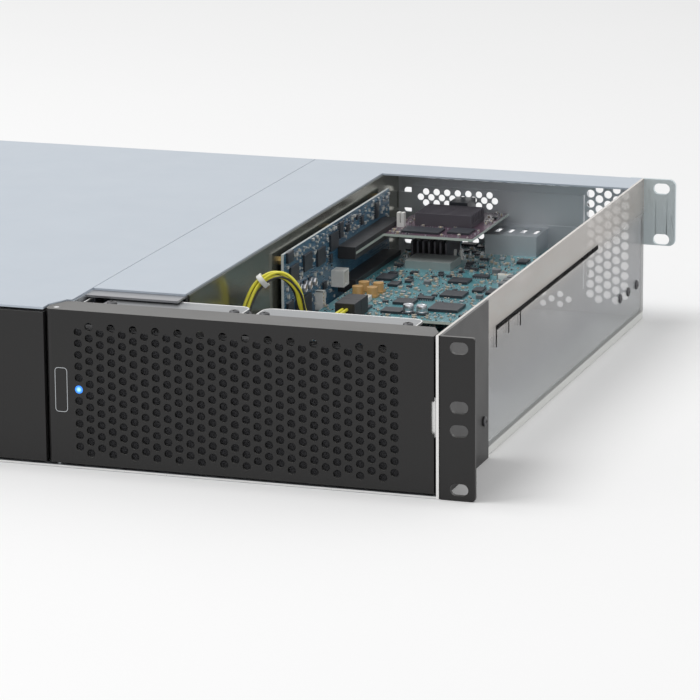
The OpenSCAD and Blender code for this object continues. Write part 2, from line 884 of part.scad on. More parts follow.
module long_card_chips() {
  y = card_rear;
  z = middle_z;
  color([0.1, 0.12, 0.14]) {
    block([115, 127], [y - 195.6, y - 184.6], [z, z + 1.6]);
    block([115, 127], [y - 172.6, y - 160.6], [z, z + 1.6]);
    block([140, 158], [y - 183.6, y - 165.6], [z, z + 1.8]);
    block([136, 150], [y - 147.6, y - 133.6], [z, z + 1.6]);
    block([92, 106], [y - 191.6, y - 182], [z, z + 1.4]);
    block([160, 172], [y - 133.6, y - 121.6], [z, z + 1.6]);
    block([130, 142], [y - 111.6, y - 99.6], [z, z + 1.6]);
    block([86, 96], [y - 115.6, y - 101.6], [z, z + 1.6]);
  }
}

module long_card_chokes() {
  color([0.85, 0.6, 0.3]) {
    for (p = [[85, 161.6], [94, 161.6], [85, 149.6], [94, 149.6]]) {
      translate([p[0] + 3.5, card_rear - p[1] + 4.5, middle_z]) {
        cylinder(r = 3.2, h = 6, $fn = round_n);
        translate([-3.5, -3.5, 0]) cube([7, 7, 1.2]);
      }
    }
  }
}

module long_card_heatsink() {
  x = [88, 111.2];
  y = [card_rear - 51.6, card_rear - 23.6];
  color([0.66, 0.67, 0.72]) {
    block([93, 122], [y[0] - 28, y[0] - 6], [middle_z, middle_z + 5]);
    block(x, y, [middle_z, middle_z + 2.5]);
    for (i = [0:6]) {
      block([x[0] + i * 3.65, x[0] + i * 3.65 + 1.3], y, [middle_z + 2.5, middle_z + 11]);
    }
  }
}

module long_card_power_socket() {
  front = card_rear - long_card_l;
  color([0.1, 0.1, 0.1]) difference() {
    block(socket_x, [front - 1, front + 12], socket_z);
    block([socket_x[0] + 1, socket_x[1] - 1], [front - 2, front + 8], [socket_z[0] + 1, socket_z[1] - 1]);
  }
}

module power_plug() {
  front = card_rear - long_card_l;
  color([0.12, 0.12, 0.12]) {
    block([socket_x[0] + 1.3, socket_x[1] - 1.3], [front - 1, front + 7.7],
          [socket_z[0] + 1.3, socket_z[1] - 1.3]);
    block(socket_x, [front - 13, front - 1], [socket_z[0] - 0.4, socket_z[1]]);
  }
}

module short_card_chips() {
  y = card_rear;
  z = top_card_z;
  color([0.13, 0.11, 0.14]) {
    block([88, 112], [y - 71.6, y - 57.6], [z, z + 1.4]);
    block([116, 130], [y - 67.6, y - 53.6], [z, z + 1.4]);
    block([102, 114], [y - 17.6, rear_in - bracket_t], [z, z + 9]);
  }
}

module short_card_header() {
  y = [card_rear - 57.1, card_rear - 53.1];
  color([0.9, 0.88, 0.88]) {
    for (x = [80.6, 83.2]) {
      block([x, x + 2], y, [top_card_z, top_card_z + 9]);
    }
    block([80.6, 85.2], y, [top_card_z, top_card_z + 2.5]);
  }
}

module short_card_heatsink() {
  x = [90, 126];
  y = [card_rear - 49.6, card_rear - 21.6];
  color([0.3, 0.2, 0.26]) {
    block(x, y, [top_card_z, top_card_z + 2.5]);
    for (i = [0:8]) {
      block(x, [y[0] + i * 3.3, y[0] + i * 3.3 + 1.3], [top_card_z + 2.5, top_card_z + 8]);
    }
  }
}

module host_board() {
  color([0.12, 0.3, 0.24]) flat(host_z, pcb_t) rect(host_x, [host_y0, rear_in - 0.4]);
}

module host_ports() {
  color([0.75, 0.75, 0.77]) {
    for (x = port_x) {
      upright(rear_in - 8, 8 + sheet_t) difference() {
        translate([x, host_z + pcb_t + port_rise]) oblong(8.9, 3.2);
        translate([x, host_z + pcb_t + port_rise]) oblong(8.3, 2.6);
      }
      upright(rear_in - 8, 1) translate([x, host_z + pcb_t + port_rise]) oblong(8.6, 2.9);
      block([x - 3.2, x + 3.2], [rear_in - 7.2, rear_in - 1],
            [host_z + pcb_t + 1.25, host_z + pcb_t + 1.95]);
    }
  }
}

// Power supply
module psu_case() {
  x = [psu_x, psu_x + psu_w];
  z = [psu_z0, psu_z0 + psu_h];
  bay = psu_fan / 2 + 0.2;
  color([0.7, 0.71, 0.72]) {
    difference() {
      block(x, [psu_y0, rear_in], z);
      block([psu_mid - bay, psu_mid + bay], [psu_fan_y - 0.2, rear_in - psu_wall],
            [psu_fan_z - bay, psu_fan_z + bay]);
      translate([psu_mid, rear_in - 2, psu_fan_z]) rotate([-90, 0, 0])
        cylinder(r = psu_bore_r, h = 4, $fn = 64);
      block([psu_mid - 13.8, psu_mid + 13.8], [rear_in - 21, rear_in + 1], [inlet_z - 10.2, inlet_z + 10.2]);
      translate([psu_mid, psu_y0 - 1, harness_z]) rotate([-90, 0, 0])
        cylinder(r = harness_r + 0.5, h = 6, $fn = round_n);
      for (i = [0:5]) {
        block([psu_mid - 14, psu_mid + 14], [psu_y0 - 1, psu_y0 + 2], [48 + i * 5, 50 + i * 5]);
      }
    }
  }
}

module psu_inlet() {
  tall = 9.9;
  color([0.06, 0.06, 0.06]) {
    difference() {
      union() {
        block([psu_mid - 13.5, psu_mid + 13.5], [rear_in - 20.5, rear_in], [inlet_z - tall, inlet_z + tall]);
        upright(rear_in, 1.6) round_rect([psu_mid - 15.5, psu_mid + 15.5], [inlet_z - 12, inlet_z + 12], 2);
      }
      upright(rear_in - 15, 18) translate([psu_mid, inlet_z]) {
        polygon([[-12, -8.2], [12, -8.2], [12, 4.2], [8, 8.2], [-8, 8.2], [-12, 4.2]]);
      }
    }
    for (p = [[-7, -2.5], [0, 2.5], [7, -2.5]]) {
      block([psu_mid + p[0] - 1, psu_mid + p[0] + 1], [rear_in - 15.5, rear_in - 1],
            [inlet_z + p[1] - 2, inlet_z + p[1] + 2]);
    }
  }
}

module psu_fan_guard() {
  wire = 0.7;
  color([0.8, 0.8, 0.8]) translate([psu_mid, rear_in + wire, psu_fan_z]) rotate([-90, 0, 0]) {
    for (r = [6, 11, 16]) {
      rotate_extrude($fn = 64) translate([r, 0]) circle(r = wire, $fn = 16);
    }
    for (a = [0, 90]) {
      rotate([0, 0, a + 45]) translate([-19.5, 0, 0.4]) rotate([0, 90, 0])
        cylinder(r = wire, h = 39, $fn = 16);
    }
  }
}

// A point on the smooth curve through four route points
function blend(a, b, c, d, t) =
  0.5 * (2 * b + (c - a) * t + (2 * a - 5 * b + 4 * c - d) * t * t + (3 * b - a - 3 * c + d) * t * t * t);

function smooth(route, steps) = [
  for (i = [0:len(route) - 2], k = [0:steps - 1])
    blend(route[max(i - 1, 0)], route[i], route[i + 1], route[min(i + 2, len(route) - 1)], k / steps),
  route[len(route) - 1]
];

function unit(v) = v / norm(v);

function heading(path, i) = unit(path[min(i + 1, len(path) - 1)] - path[max(i - 1, 0)]);

// Each side vector is the last one made square to the new heading, so the tube doesn't twist
function side_vectors(path) = [
  for (
    i = 0, s = unit(cross(heading(path, 0), [0.31, 0.2, 0.93]));
    i < len(path);
    i = i + 1, s = i < len(path) ? unit(s - (s * heading(path, i)) * heading(path, i)) : s
  ) s
];

module tube(path, r, sides) {
  across = side_vectors(path);
  n = len(path);
  points = [
    for (i = [0:n - 1], k = [0:sides - 1])
      path[i] + r * (cos(k * 360 / sides) * across[i]
                     + sin(k * 360 / sides) * cross(heading(path, i), across[i]))
  ];
  faces = [
    [for (k = [0:sides - 1]) k],
    for (i = [0:n - 2], k = [0:sides - 1], half = [0, 1]) let (
      a = i * sides + k,
      b = i * sides + (k + 1) % sides
    ) half == 0 ? [a, a + sides, b] : [b, a + sides, b + sides],
    [for (k = [sides - 1:-1:0]) (n - 1) * sides + k]
  ];
  polyhedron(points, faces);
}

module power_harness() {
  color([0.1, 0.1, 0.1]) tube(smooth(harness_path, 2), harness_r, 10);
}

module power_leads() {
  color([0.93, 0.88, 0.3]) {
    for (o = lead_offset) {
      tube(smooth([for (p = lead_path) p + o], 2), lead_r, 8);
    }
  }
}

module lead_tie() {
  path = smooth(lead_path, 2);
  h = heading(path, tie_ring);
  color([0.95, 0.95, 0.93]) translate(path[tie_ring]) rotate([0, acos(h[2]), atan2(h[1], h[0])]) {
    translate([0, 0, -1.5]) difference() {
      cylinder(r = 4.3, h = 3, $fn = round_n);
      translate([0, 0, -1]) cylinder(r = 3.5, h = 5, $fn = round_n);
    }
  }
}

module screws() {
  color([0.85, 0.85, 0.85]) {
    for (x = [[fan_left_x - fan_size / 2 - bracket_margin, fan_left_x + fan_size / 2 + bracket_margin],
        [fan_right_x - fan_size / 2 - right_margin, fan_right_x + fan_size / 2 + right_margin]]) {
      for (p = [x[0] + plate_screw_in, x[1] - plate_screw_in]) {
        screw([p, plate_screw_y, bracket_top + sheet_t], [0, 0, 0]);
      }
    }
    for (s = [-1, 1]) {
      screw([s * leg_x, leg_screw[0], leg_screw[1]], [0, s * 90, 0]);
      screw([s * ear_screw[0], depth + rear_ear_t, ear_screw[1]], [-90, 0, 0]);
      for (y = [depth - 57, depth - 38, depth - 18]) {
        screw([s * half_out, y, 25], [0, s * 90, 0]);
      }
    }
    for (z = [bottom_z, middle_z, top_card_z]) {
      screw([tab_x + bracket_t, depth + 6, z - bracket_below + bracket_w / 2], [0, 90, 0]);
    }
  }
}

// The origin is under the middle of the whole chassis
module placed() {
  translate([0, -total_d / 2, 0]) children();
}

placed() base_pan();
placed() left_side_panel();
placed() right_side_panel();
placed() rear_panel();
placed() left_top_cover();
placed() bay_top_plate();
placed() centre_divider();
placed() device_bay_wall();
placed() cover_support();
placed() front_post(-1);  // front_post_left
placed() front_post(1);  // front_post_right
placed() front_ear(-1);  // front_ear_left
placed() front_ear(1);  // front_ear_right
placed() rear_ear(-1);  // rear_ear_left
placed() rear_ear(1);  // rear_ear_right
placed() blank_panel();
placed() front_door();
placed() door_filter();
placed() filter_frame();
placed() door_hinge_pins();
placed() door_magnet();
placed() light_pipe();
placed() status_lamp();
placed() fan_bracket_left();
placed() fan_bracket_right();
placed() fan_frame(fan_left_x);  // fan_frame_left
placed() fan_frame(fan_right_x);  // fan_frame_right
placed() fan_rotor(fan_left_x);  // fan_rotor_left
placed() fan_rotor(fan_right_x);  // fan_rotor_right
placed() riser_board();
placed() board_standoffs();
placed() slot_connectors();
placed() riser_header();
placed() riser_chips();
placed() card_rail();
placed() long_card_board();
placed() long_card_bracket();
placed() long_card_chips();
placed() long_card_chokes();
placed() long_card_heatsink();
placed() long_card_ports();
placed() long_card_power_socket();
placed() short_card_board();
placed() short_card_bracket();
placed() short_card_chips();
placed() short_card_header();
placed() short_card_heatsink();
placed() slot_cover();
placed() psu_case();
placed() psu_inlet();
placed() psu_fan_frame();
placed() psu_fan_rotor();
placed() psu_fan_guard();
placed() host_board();
placed() host_ports();
placed() power_harness();
placed() power_leads();
placed() power_plug();
placed() lead_tie();
placed() screws();
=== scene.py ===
"""Visual model of a two-unit rack chassis that carries expansion cards on a side riser.

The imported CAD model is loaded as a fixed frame. Each class dresses one sub-assembly: it gives
the carried-over nodes their finishes and adds the detail pieces that stay with this script.
Lengths in the classes are in millimetres, with Y counted from the front face to the rear.
"""

import json
import logging
import math
import random
from dataclasses import dataclass, field
from enum import Enum
from functools import lru_cache
from typing import Callable, Sequence

import bmesh
import bpy
from mathutils import Matrix, Vector

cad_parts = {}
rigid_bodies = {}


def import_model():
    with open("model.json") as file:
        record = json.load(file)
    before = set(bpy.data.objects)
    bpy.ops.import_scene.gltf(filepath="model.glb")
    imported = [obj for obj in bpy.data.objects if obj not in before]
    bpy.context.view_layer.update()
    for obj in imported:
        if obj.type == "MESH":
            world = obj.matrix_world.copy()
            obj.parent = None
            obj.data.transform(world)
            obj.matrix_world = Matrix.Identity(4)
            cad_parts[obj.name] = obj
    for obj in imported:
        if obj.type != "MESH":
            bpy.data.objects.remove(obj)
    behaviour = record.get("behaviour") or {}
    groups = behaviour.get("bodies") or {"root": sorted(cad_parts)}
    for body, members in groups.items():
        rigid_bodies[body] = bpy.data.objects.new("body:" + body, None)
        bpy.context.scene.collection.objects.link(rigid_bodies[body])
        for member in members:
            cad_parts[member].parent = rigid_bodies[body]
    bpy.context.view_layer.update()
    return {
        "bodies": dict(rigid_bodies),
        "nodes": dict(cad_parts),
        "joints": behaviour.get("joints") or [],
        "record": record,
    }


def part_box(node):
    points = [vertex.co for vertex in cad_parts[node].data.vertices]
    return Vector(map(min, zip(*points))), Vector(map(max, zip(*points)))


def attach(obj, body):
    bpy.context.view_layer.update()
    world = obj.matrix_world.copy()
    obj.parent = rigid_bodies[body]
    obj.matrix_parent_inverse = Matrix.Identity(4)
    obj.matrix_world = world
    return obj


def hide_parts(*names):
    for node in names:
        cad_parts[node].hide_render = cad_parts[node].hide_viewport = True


LOG = logging.getLogger("expansion_chassis")
MM = 0.001
FRONT_Y = -218.8

# How far a face has to lean towards an axis to count as facing it, and as facing up
ALONG_AXIS = 0.5
FACING_UP = 0.7

Pair = tuple[float, float]
Triple = tuple[float, float, float]
Patch = tuple[float, float, float, float]
Socket = bpy.types.NodeSocket
Palette = dict[str, bpy.types.Material]


def shift(x: float, y: float, z: float) -> Matrix:
    """Return a translation in millimetres."""
    return Matrix.Translation((x, y, z))


def add_object(name: str, data: bpy.types.ID) -> bpy.types.Object:
    """Put an object with this data in the scene.

    Args:
        name: The object's name.
        data: Its mesh, camera or light.

    Returns:
        The new object.
    """
    made = bpy.data.objects.new(name, data)
    bpy.context.scene.collection.objects.link(made)
    return made


# Finishes


class Sheet:
    """A node tree under construction, with short calls for the nodes that the finishes share."""

    def __init__(self, name: str) -> None:
        """Start a material with its Principled shader.

        Args:
            name: The material's name.
        """
        self.material = bpy.data.materials.new(name)
        self.material.use_nodes = True
        self.tree = self.material.node_tree
        self.shader = self.tree.nodes["Principled BSDF"]
        where = self.tree.nodes.new("ShaderNodeTexCoord").outputs
        self.place, self.facing = where["Object"], where["Normal"]

    def feed(self, target: Socket, value: object) -> None:
        """Link an output to an input, or set the input to a plain value.

        Args:
            target: The input.
            value: An output socket, a number or a vector.
        """
        if isinstance(value, Socket):
            self.tree.links.new(value, target)
        else:
            target.default_value = value

    def give(self, **values: object) -> None:
        """Feed the shader's inputs, with underscores for the spaces in their names."""
        for name, value in values.items():
            self.feed(self.shader.inputs[name.replace("_", " ")], value)

    def add(self, kind: str, out: str | int, feeds: dict, **traits: object) -> Socket:
        """Add a node and feed its inputs.

        Args:
            kind: Blender's node type, without its common prefix.
            out: Name or index of the wanted output.
            feeds: Sockets or plain values by the input's name or index.
            traits: Attributes of the node itself.

        Returns:
            The wanted output.
        """
        made = self.tree.nodes.new("ShaderNode" + kind)
        for trait, value in traits.items():
            setattr(made, trait, value)
        for key, value in feeds.items():
            self.feed(made.inputs[key], value)
        return made.outputs[out]

    def math(self, how: str, *values: object) -> Socket:
        """Return a math operation on sockets and plain numbers."""
        return self.add("Math", 0, dict(enumerate(values)), operation=how)

    def vector(self, how: str, *values: object, out: str = "Vector") -> Socket:
        """Return a vector operation on sockets and plain vectors."""
        return self.add("VectorMath", out, dict(enumerate(values)), operation=how)

    def axis(self, name: str, vector: Socket) -> Socket:
        """Return one axis of a vector."""
        return self.add("SeparateXYZ", name, {"Vector": vector})

    def spread(self, value: Socket, low: float, high: float) -> Socket:
        """Return a value between nought and one remapped between two numbers."""
        return self.add("MapRange", "Result", {"Value": value, "To Min": low, "To Max": high})

    def stretched(self, scale: Triple) -> Socket:
        """Return the object's coordinates with each axis multiplied."""
        return self.add("Mapping", "Vector", {"Vector": self.place, "Scale": scale})

    def noise(self, scale: float, detail: float = 3.0, over: Socket | None = None) -> Socket:
        """Return a noise value.

        Args:
            scale: Cells in a metre.
            detail: Octaves.
            over: Coordinates, or None for the object's own.

        Returns:
            The noise factor's socket.
        """
        feeds = {"Scale": scale, "Detail": detail, "Vector": over or self.place}
        return self.add("TexNoise", "Fac", feeds)

    def cells(self, scale: float) -> Socket:
        """Return the distance to the nearest of scattered points."""
        return self.add("TexVoronoi", "Distance", {"Scale": scale, "Vector": self.place})

    def wave(self, direction: str, feeds: dict) -> Socket:
        """Return parallel bands across one direction."""
        return self.add("TexWave", "Fac", feeds, bands_direction=direction)

    def colours(self, value: Socket, stops: Sequence[tuple[float, ...]]) -> bpy.types.NodeOutputs:
        """Remap a value through colour stops.

        Args:
            value: The value to remap.
            stops: Place, red, green, blue and alpha of each stop.

        Returns:
            The ramp's colour and alpha outputs.
        """
        made = self.tree.nodes.new("ShaderNodeValToRGB")
        elements = made.color_ramp.elements
        while len(elements) < len(stops):
            elements.new(0.5)
        for element, (place, *colour) in zip(elements, stops):
            element.position = place
            element.color = colour
        self.feed(made.inputs["Fac"], value)
        return made.outputs

    def ramp(self, value: Socket, *stops: Pair) -> Socket:
        """Return a value remapped through pairs of place and grey level."""
        return self.colours(value, [(place, grey, grey, grey, 1) for place, grey in stops])["Color"]

    def blend(self, factor: Socket, low: object, high: object) -> Socket:
        """Mix two colours.

        Args:
            factor: The share of the second colour.
            low: The first colour, as three numbers or a socket.
            high: The second colour, as three numbers or a socket.

        Returns:
            The mixed colour's socket.
        """
        first, second = (c if isinstance(c, Socket) else (*c, 1) for c in (low, high))
        return self.add("Mix", 2, {0: factor, 6: first, 7: second}, data_type="RGBA")

    def mottle(
        self, colour: Triple, low: float, high: float, scale: float, detail: float
    ) -> Socket:
        """Return a colour that drifts with noise.

        Args:
            colour: The middle colour.
            low: Its darkest factor.
            high: Its brightest factor.
            scale: Cells in a metre.
            detail: Octaves.

        Returns:
            The colour's socket.
        """
        return self.blend(self.noise(scale, detail), shade(colour, low), shade(colour, high))

    def roughen(self, value: Socket, low: float, high: float) -> None:
        """Drive the shader's roughness between two levels."""
        self.give(Roughness=self.spread(value, low, high))

    def emboss(self, height: Socket, strength: float, depth: float) -> None:
        """Drive the shader's normal with a height.

        Args:
            height: The height value.
            strength: The bump's strength.
            depth: The bump's depth in metres.
        """
        feeds = {"Strength": strength, "Distance": depth, "Height": height}
        self.give(Normal=self.add("Bump", "Normal", feeds))


def shade(colour: Triple, factor: float) -> Triple:
    """Return a colour with each channel multiplied and kept under one."""
    return tuple(min(1.0, channel * factor) for channel in colour)


@dataclass(frozen=True)
class Finish:
    """A named finish in one colour; each kind draws its own node tree."""

    name: str
    colour: Triple

    def draw(self, sheet: Sheet) -> None:
        """Draw the finish on an empty sheet."""
        raise NotImplementedError

    def make(self) -> bpy.types.Material:
        """Build the material.

        Returns:
            The finished material.
        """
        sheet = Sheet(self.name)
        self.draw(sheet)
        return sheet.material


@dataclass(frozen=True)
class PaintedSteel(Finish):
    """Powder paint on sheet steel: a soft mottle, a fine orange-peel surface and, where set, a
    painted highlight on faces that look up.
    """

    rough: float = 0.5
    peel: float = 900.0
    bump: float = 0.25
    drift: float = 0.05
    # upper: painted highlight, the paler colour that faces looking up take in place of their lit
    # sheen
    upper: Triple | None = None
    gloss: float = 0.5

    def coat(self, sheet: Sheet) -> Socket:
        """Mix the paint, with a painted highlight where the finish sets one: a paler colour on
        faces that look up, standing in for the sheen on their lit tops.

        Args:
            sheet: The material under construction.

        Returns:
            The paint's colour.
        """
        low, high = 1 - self.drift, 1 + self.drift
        plain = sheet.mottle(self.colour, low, high, scale=14.0, detail=4.0)
        if self.upper is None:
            return plain
        # painted highlight: faces that look up take the paler colour
        upward = sheet.math("GREATER_THAN", sheet.axis("Z", sheet.facing), FACING_UP)
        return sheet.blend(upward, plain, self.upper)

    def draw(self, sheet: Sheet) -> None:
        """Draw the paint.

        Args:
            sheet: The empty sheet.
        """
        sheet.give(Base_Color=self.coat(sheet), Specular_IOR_Level=self.gloss)
        sheet.roughen(sheet.noise(40.0, detail=5.0), low=self.rough - 0.06, high=self.rough + 0.06)
        sheet.emboss(sheet.noise(self.peel, detail=2.0), strength=self.bump, depth=0.00012)


@dataclass(frozen=True)
class PrintedSteel(PaintedSteel):
    """Powder paint with a plain rounded outline printed on the face that looks forward."""

    centre: Pair = (9.2, 43.3)
    half: Pair = (3.6, 12.3)
    corner: float = 2.0
    line: float = 0.35
    ink: Triple = (0.5, 0.52, 0.54)

    def coat(self, sheet: Sheet) -> Socket:
        """Mix the paint and print the outline on it.

        Args:
            sheet: The material under construction.

        Returns:
            The printed colour.
        """
        (x, z), (wide, tall), r = self.centre, self.half, self.corner
        flat = sheet.vector("MULTIPLY", sheet.place, (1.0, 0.0, 1.0))
        from_centre = sheet.vector("SUBTRACT", flat, (x * MM, 0.0, z * MM))
        away = sheet.vector("ABSOLUTE", from_centre)
        beyond = sheet.vector("SUBTRACT", away, ((wide - r) * MM, 0.0, (tall - r) * MM))
        outside = sheet.vector("MAXIMUM", beyond, (0.0, 0.0, 0.0))
        length = sheet.vector("LENGTH", outside, out="Value")
        ring = sheet.math("COMPARE", length, (r - self.line / 2) * MM, self.line / 2 * MM)
        forward = sheet.math("LESS_THAN", sheet.axis("Y", sheet.facing), -ALONG_AXIS)
        return sheet.blend(sheet.math("MULTIPLY", ring, forward), super().coat(sheet), self.ink)


@dataclass(frozen=True)
class RawSteel(Finish):
    """Bare plated sheet: bright metal with a stretched rolling grain."""

    rough: float = 0.38
    grain: Triple = (30.0, 900.0, 900.0)
    metal: float = 0.85

    def draw(self, sheet: Sheet) -> None:
        """Draw the metal.

        Args:
            sheet: The empty sheet.
        """
        grain = sheet.noise(1.0, over=sheet.stretched(self.grain))
        colour = sheet.mottle(self.colour, 0.9, 1.06, scale=22.0, detail=4.0)
        sheet.give(Metallic=self.metal, Base_Color=colour)
        sheet.roughen(grain, low=self.rough - 0.08, high=self.rough + 0.1)
        sheet.emboss(grain, strength=0.12, depth=0.00005)


@dataclass(frozen=True)
class SinkMetal(Finish):
    """A grey spreader plate ahead of the finned heat sink, split at one place on the card; behind
    the split the heat sink is painted dark as the shade under the short card.
    """

    rear_painted_shade: Triple
    split: float

    def draw(self, sheet: Sheet) -> None:
        """Draw both metals.

        Args:
            sheet: The empty sheet.
        """
        limit = (self.split + FRONT_Y) * MM
        behind = sheet.math("GREATER_THAN", sheet.axis("Y", sheet.place), limit)
        grain = sheet.noise(1.0, over=sheet.stretched((500.0, 40.0, 500.0)))
        cloud = sheet.ramp(sheet.noise(40.0), (0.0, 0.0), (1.0, 0.1))
        # painted shade: the part behind the split takes the dark colour of the shade under the
        # short card
        metal = sheet.blend(cloud, sheet.blend(behind, self.colour, self.rear_painted_shade), (1.0, 1.0, 1.0))
        sheet.give(Metallic=0.6, Base_Color=metal)
        sheet.roughen(grain, low=0.32, high=0.5)
        sheet.emboss(grain, strength=0.12, depth=0.00005)


@dataclass(frozen=True)
class ClearWall(Finish):
    """The side panel drawn see-through: veiled faces, bright cut edges, a clear view of the rail.

    The bands give the height, colour and veil from the floor up; the lowest, near-white one
    is a painted highlight of the lit bend of the base along the wall's foot. The windows give
    the rail's rear-to-front and upright limits, and the slant how far they move from the inner
    face to the outer one.
    """

    top_edge: Triple
    bands: tuple[tuple[float, ...], ...]
    windows: tuple[Patch, ...]
    height: float = 88.1
    slant: Triple = (0.0, 5.3, -1.3)

    def draw(self, sheet: Sheet) -> None:
        """Draw the panel.

        Args:
            sheet: The empty sheet.
        """
        outward = sheet.axis("X", sheet.facing)
        face = sheet.math("GREATER_THAN", sheet.math("ABSOLUTE", outward), ALONG_AXIS)
        level = sheet.math("DIVIDE", sheet.axis("Z", sheet.place), self.height * MM)
        bands = sheet.colours(level, [(high / self.height, *look) for high, *look in self.bands])
        cloud = sheet.ramp(sheet.noise(9.0), (0.3, 0.0), (0.7, 0.12))
        veil = sheet.blend(cloud, bands["Color"], self.colour)
        upward = sheet.math("GREATER_THAN", sheet.axis("Z", sheet.facing), ALONG_AXIS)
        rim = sheet.blend(upward, self.colour, self.top_edge)
        thin = sheet.spread(self._window(sheet, outward), 1.0, 0.0)
        faces = sheet.math("MULTIPLY", bands["Alpha"], thin)
        alpha = sheet.math("MAXIMUM", faces, sheet.spread(face, 1.0, 0.0))
        sheet.give(Base_Color=sheet.blend(face, rim, veil), Alpha=alpha)
        sheet.roughen(sheet.noise(30.0, detail=4.0), low=0.16, high=0.26)

    def _window(self, sheet: Sheet, outward: Socket) -> Socket:
        """Find where the rail stands behind the face.

        Args:
            sheet: The material under construction.
            outward: The face's direction along X, which tells the outer face from the inner one.

        Returns:
            One behind the rail and nought elsewhere.
        """
        outer = sheet.math("MAXIMUM", outward, 0.0)
        feeds = {0: Vector(self.slant) * MM, "Scale": outer}
        lean = sheet.add("VectorMath", "Vector", feeds, operation="SCALE")
        behind = sheet.vector("ADD", sheet.place, lean)
        along, tall = sheet.axis("Y", behind), sheet.axis("Z", behind)
        boxes = []
        for y0, y1, z0, z1 in self.windows:
            middle = ((y0 + y1) / 2 + FRONT_Y) * MM
            in_y = sheet.math("COMPARE", along, middle, (y1 - y0) / 2 * MM)
            in_z = sheet.math("COMPARE", tall, (z0 + z1) / 2 * MM, (z1 - z0) / 2 * MM)
            boxes.append(sheet.math("MULTIPLY", in_y, in_z))
        mask = boxes[0]
        for box in boxes[1:]:
            mask = sheet.math("MAXIMUM", mask, box)
        return mask


@dataclass(frozen=True)
class MouldedPlastic(Finish):
    """Moulded plastic: nearly even colour with a fine spark-eroded texture."""

    rough: float = 0.5
    grit: float = 2200.0
    bump: float = 0.2
    gloss: float = 0.5

    def draw(self, sheet: Sheet) -> None:
        """Draw the plastic.

        Args:
            sheet: The empty sheet.
        """
        colour = sheet.mottle(self.colour, 0.88, 1.12, scale=60.0, detail=3.0)
        sheet.give(Base_Color=colour, Specular_IOR_Level=self.gloss)
        sheet.roughen(sheet.noise(120.0, detail=2.0), low=self.rough - 0.07, high=self.rough + 0.07)
        sheet.emboss(sheet.noise(self.grit, detail=1.0), strength=self.bump, depth=0.00006)


@dataclass(frozen=True)
class CircuitBoard(Finish):
    """Solder mask over copper: runs of tracks, plated holes and a glossy coat."""

    track: Triple
    pads: Triple = (0.62, 0.62, 0.58)
    axes: tuple[str, str] = ("X", "Y")
    across: str = "Z"
    edge: Triple = (0.52, 0.58, 0.52)

    def draw(self, sheet: Sheet) -> None:
        """Draw both faces, and bare glass fibre on the cut edges.

        Args:
            sheet: The empty sheet.
        """
        runs = [self._runs(sheet, axis, step) for axis, step in zip(self.axes, (0.0, 3.7))]
        tracks = sheet.math("MAXIMUM", *runs)
        ground = sheet.mottle(self.colour, 0.8, 1.25, scale=55.0, detail=4.0)
        holes = sheet.ramp(sheet.cells(420.0), (0.0, 1.0), (0.13, 1.0), (0.17, 0.0))
        sparse = sheet.ramp(sheet.noise(70.0, detail=1.0), (0.0, 0.0), (0.52, 0.0), (0.56, 1.0))
        spots = sheet.math("MULTIPLY", holes, sparse)
        mask = sheet.blend(spots, sheet.blend(tracks, ground, self.track), self.pads)
        straight = sheet.math("ABSOLUTE", sheet.axis(self.across, sheet.facing))
        face = sheet.math("GREATER_THAN", straight, ALONG_AXIS)
        sheet.give(Base_Color=sheet.blend(face, self.edge, mask))
        sheet.give(Coat_Weight=0.5, Coat_Roughness=0.15)
        sheet.roughen(tracks, low=0.42, high=0.3)
        sheet.emboss(tracks, strength=0.35, depth=0.00005)

    @staticmethod
    def _runs(sheet: Sheet, axis: str, step: float) -> Socket:
        """Draw parallel tracks along one axis, shown in patches.

        Args:
            sheet: The material under construction.
            axis: The axis across which the tracks repeat.
            step: An offset of the patches.

        Returns:
            A value of one on a track.
        """
        wave = sheet.wave(axis, {"Scale": 190.0, "Distortion": 0.0, "Vector": sheet.place})
        lines = sheet.ramp(wave, (0.0, 0.0), (0.62, 0.0), (0.74, 1.0))
        moved = sheet.add("Mapping", "Vector", {"Vector": sheet.place, "Location": (step,) * 3})
        cloud = sheet.noise(48.0, detail=1.0, over=moved)
        patches = sheet.ramp(cloud, (0.0, 0.0), (0.5, 0.0), (0.53, 1.0))
        return sheet.math("MULTIPLY", lines, patches)


@dataclass(frozen=True)
class Foam(Finish):
    """Open-cell filter foam."""

    def draw(self, sheet: Sheet) -> None:
        """Draw the pores.

        Args:
            sheet: The empty sheet.
        """
        pores = sheet.cells(1100.0)
        depth = sheet.ramp(pores, (0.1, 0.0), (0.6, 1.0))
        colour = sheet.blend(depth, shade(self.colour, 0.3), shade(self.colour, 1.7))
        sheet.give(Base_Color=colour, Roughness=0.95)
        sheet.emboss(pores, strength=1.0, depth=0.0008)


@dataclass(frozen=True)
class Glow(Finish):
    """Clear plastic lit from behind, brightest on the axis of the light pipe."""

    heart: Triple
    power: float
    axis: Pair = (19.4, 44.05)
    radius: float = 1.7

    def draw(self, sheet: Sheet) -> None:
        """Draw the light.

        Args:
            sheet: The empty sheet.
        """
        flat = sheet.vector("MULTIPLY", sheet.place, (1.0, 0.0, 1.0))
        middle = (self.axis[0] * MM, 0.0, self.axis[1] * MM)
        away = sheet.vector("DISTANCE", flat, middle, out="Value")
        share = sheet.add("MapRange", "Result", {"Value": away, "From Max": self.radius * MM})
        cloud = sheet.ramp(sheet.noise(400.0, detail=2.0), (0.0, 0.9), (1.0, 1.0))
        light = sheet.blend(sheet.math("MULTIPLY", share, cloud), self.heart, self.colour)
        sheet.give(Base_Color=light, Emission_Color=light, Emission_Strength=self.power)
        sheet.give(Roughness=0.2)


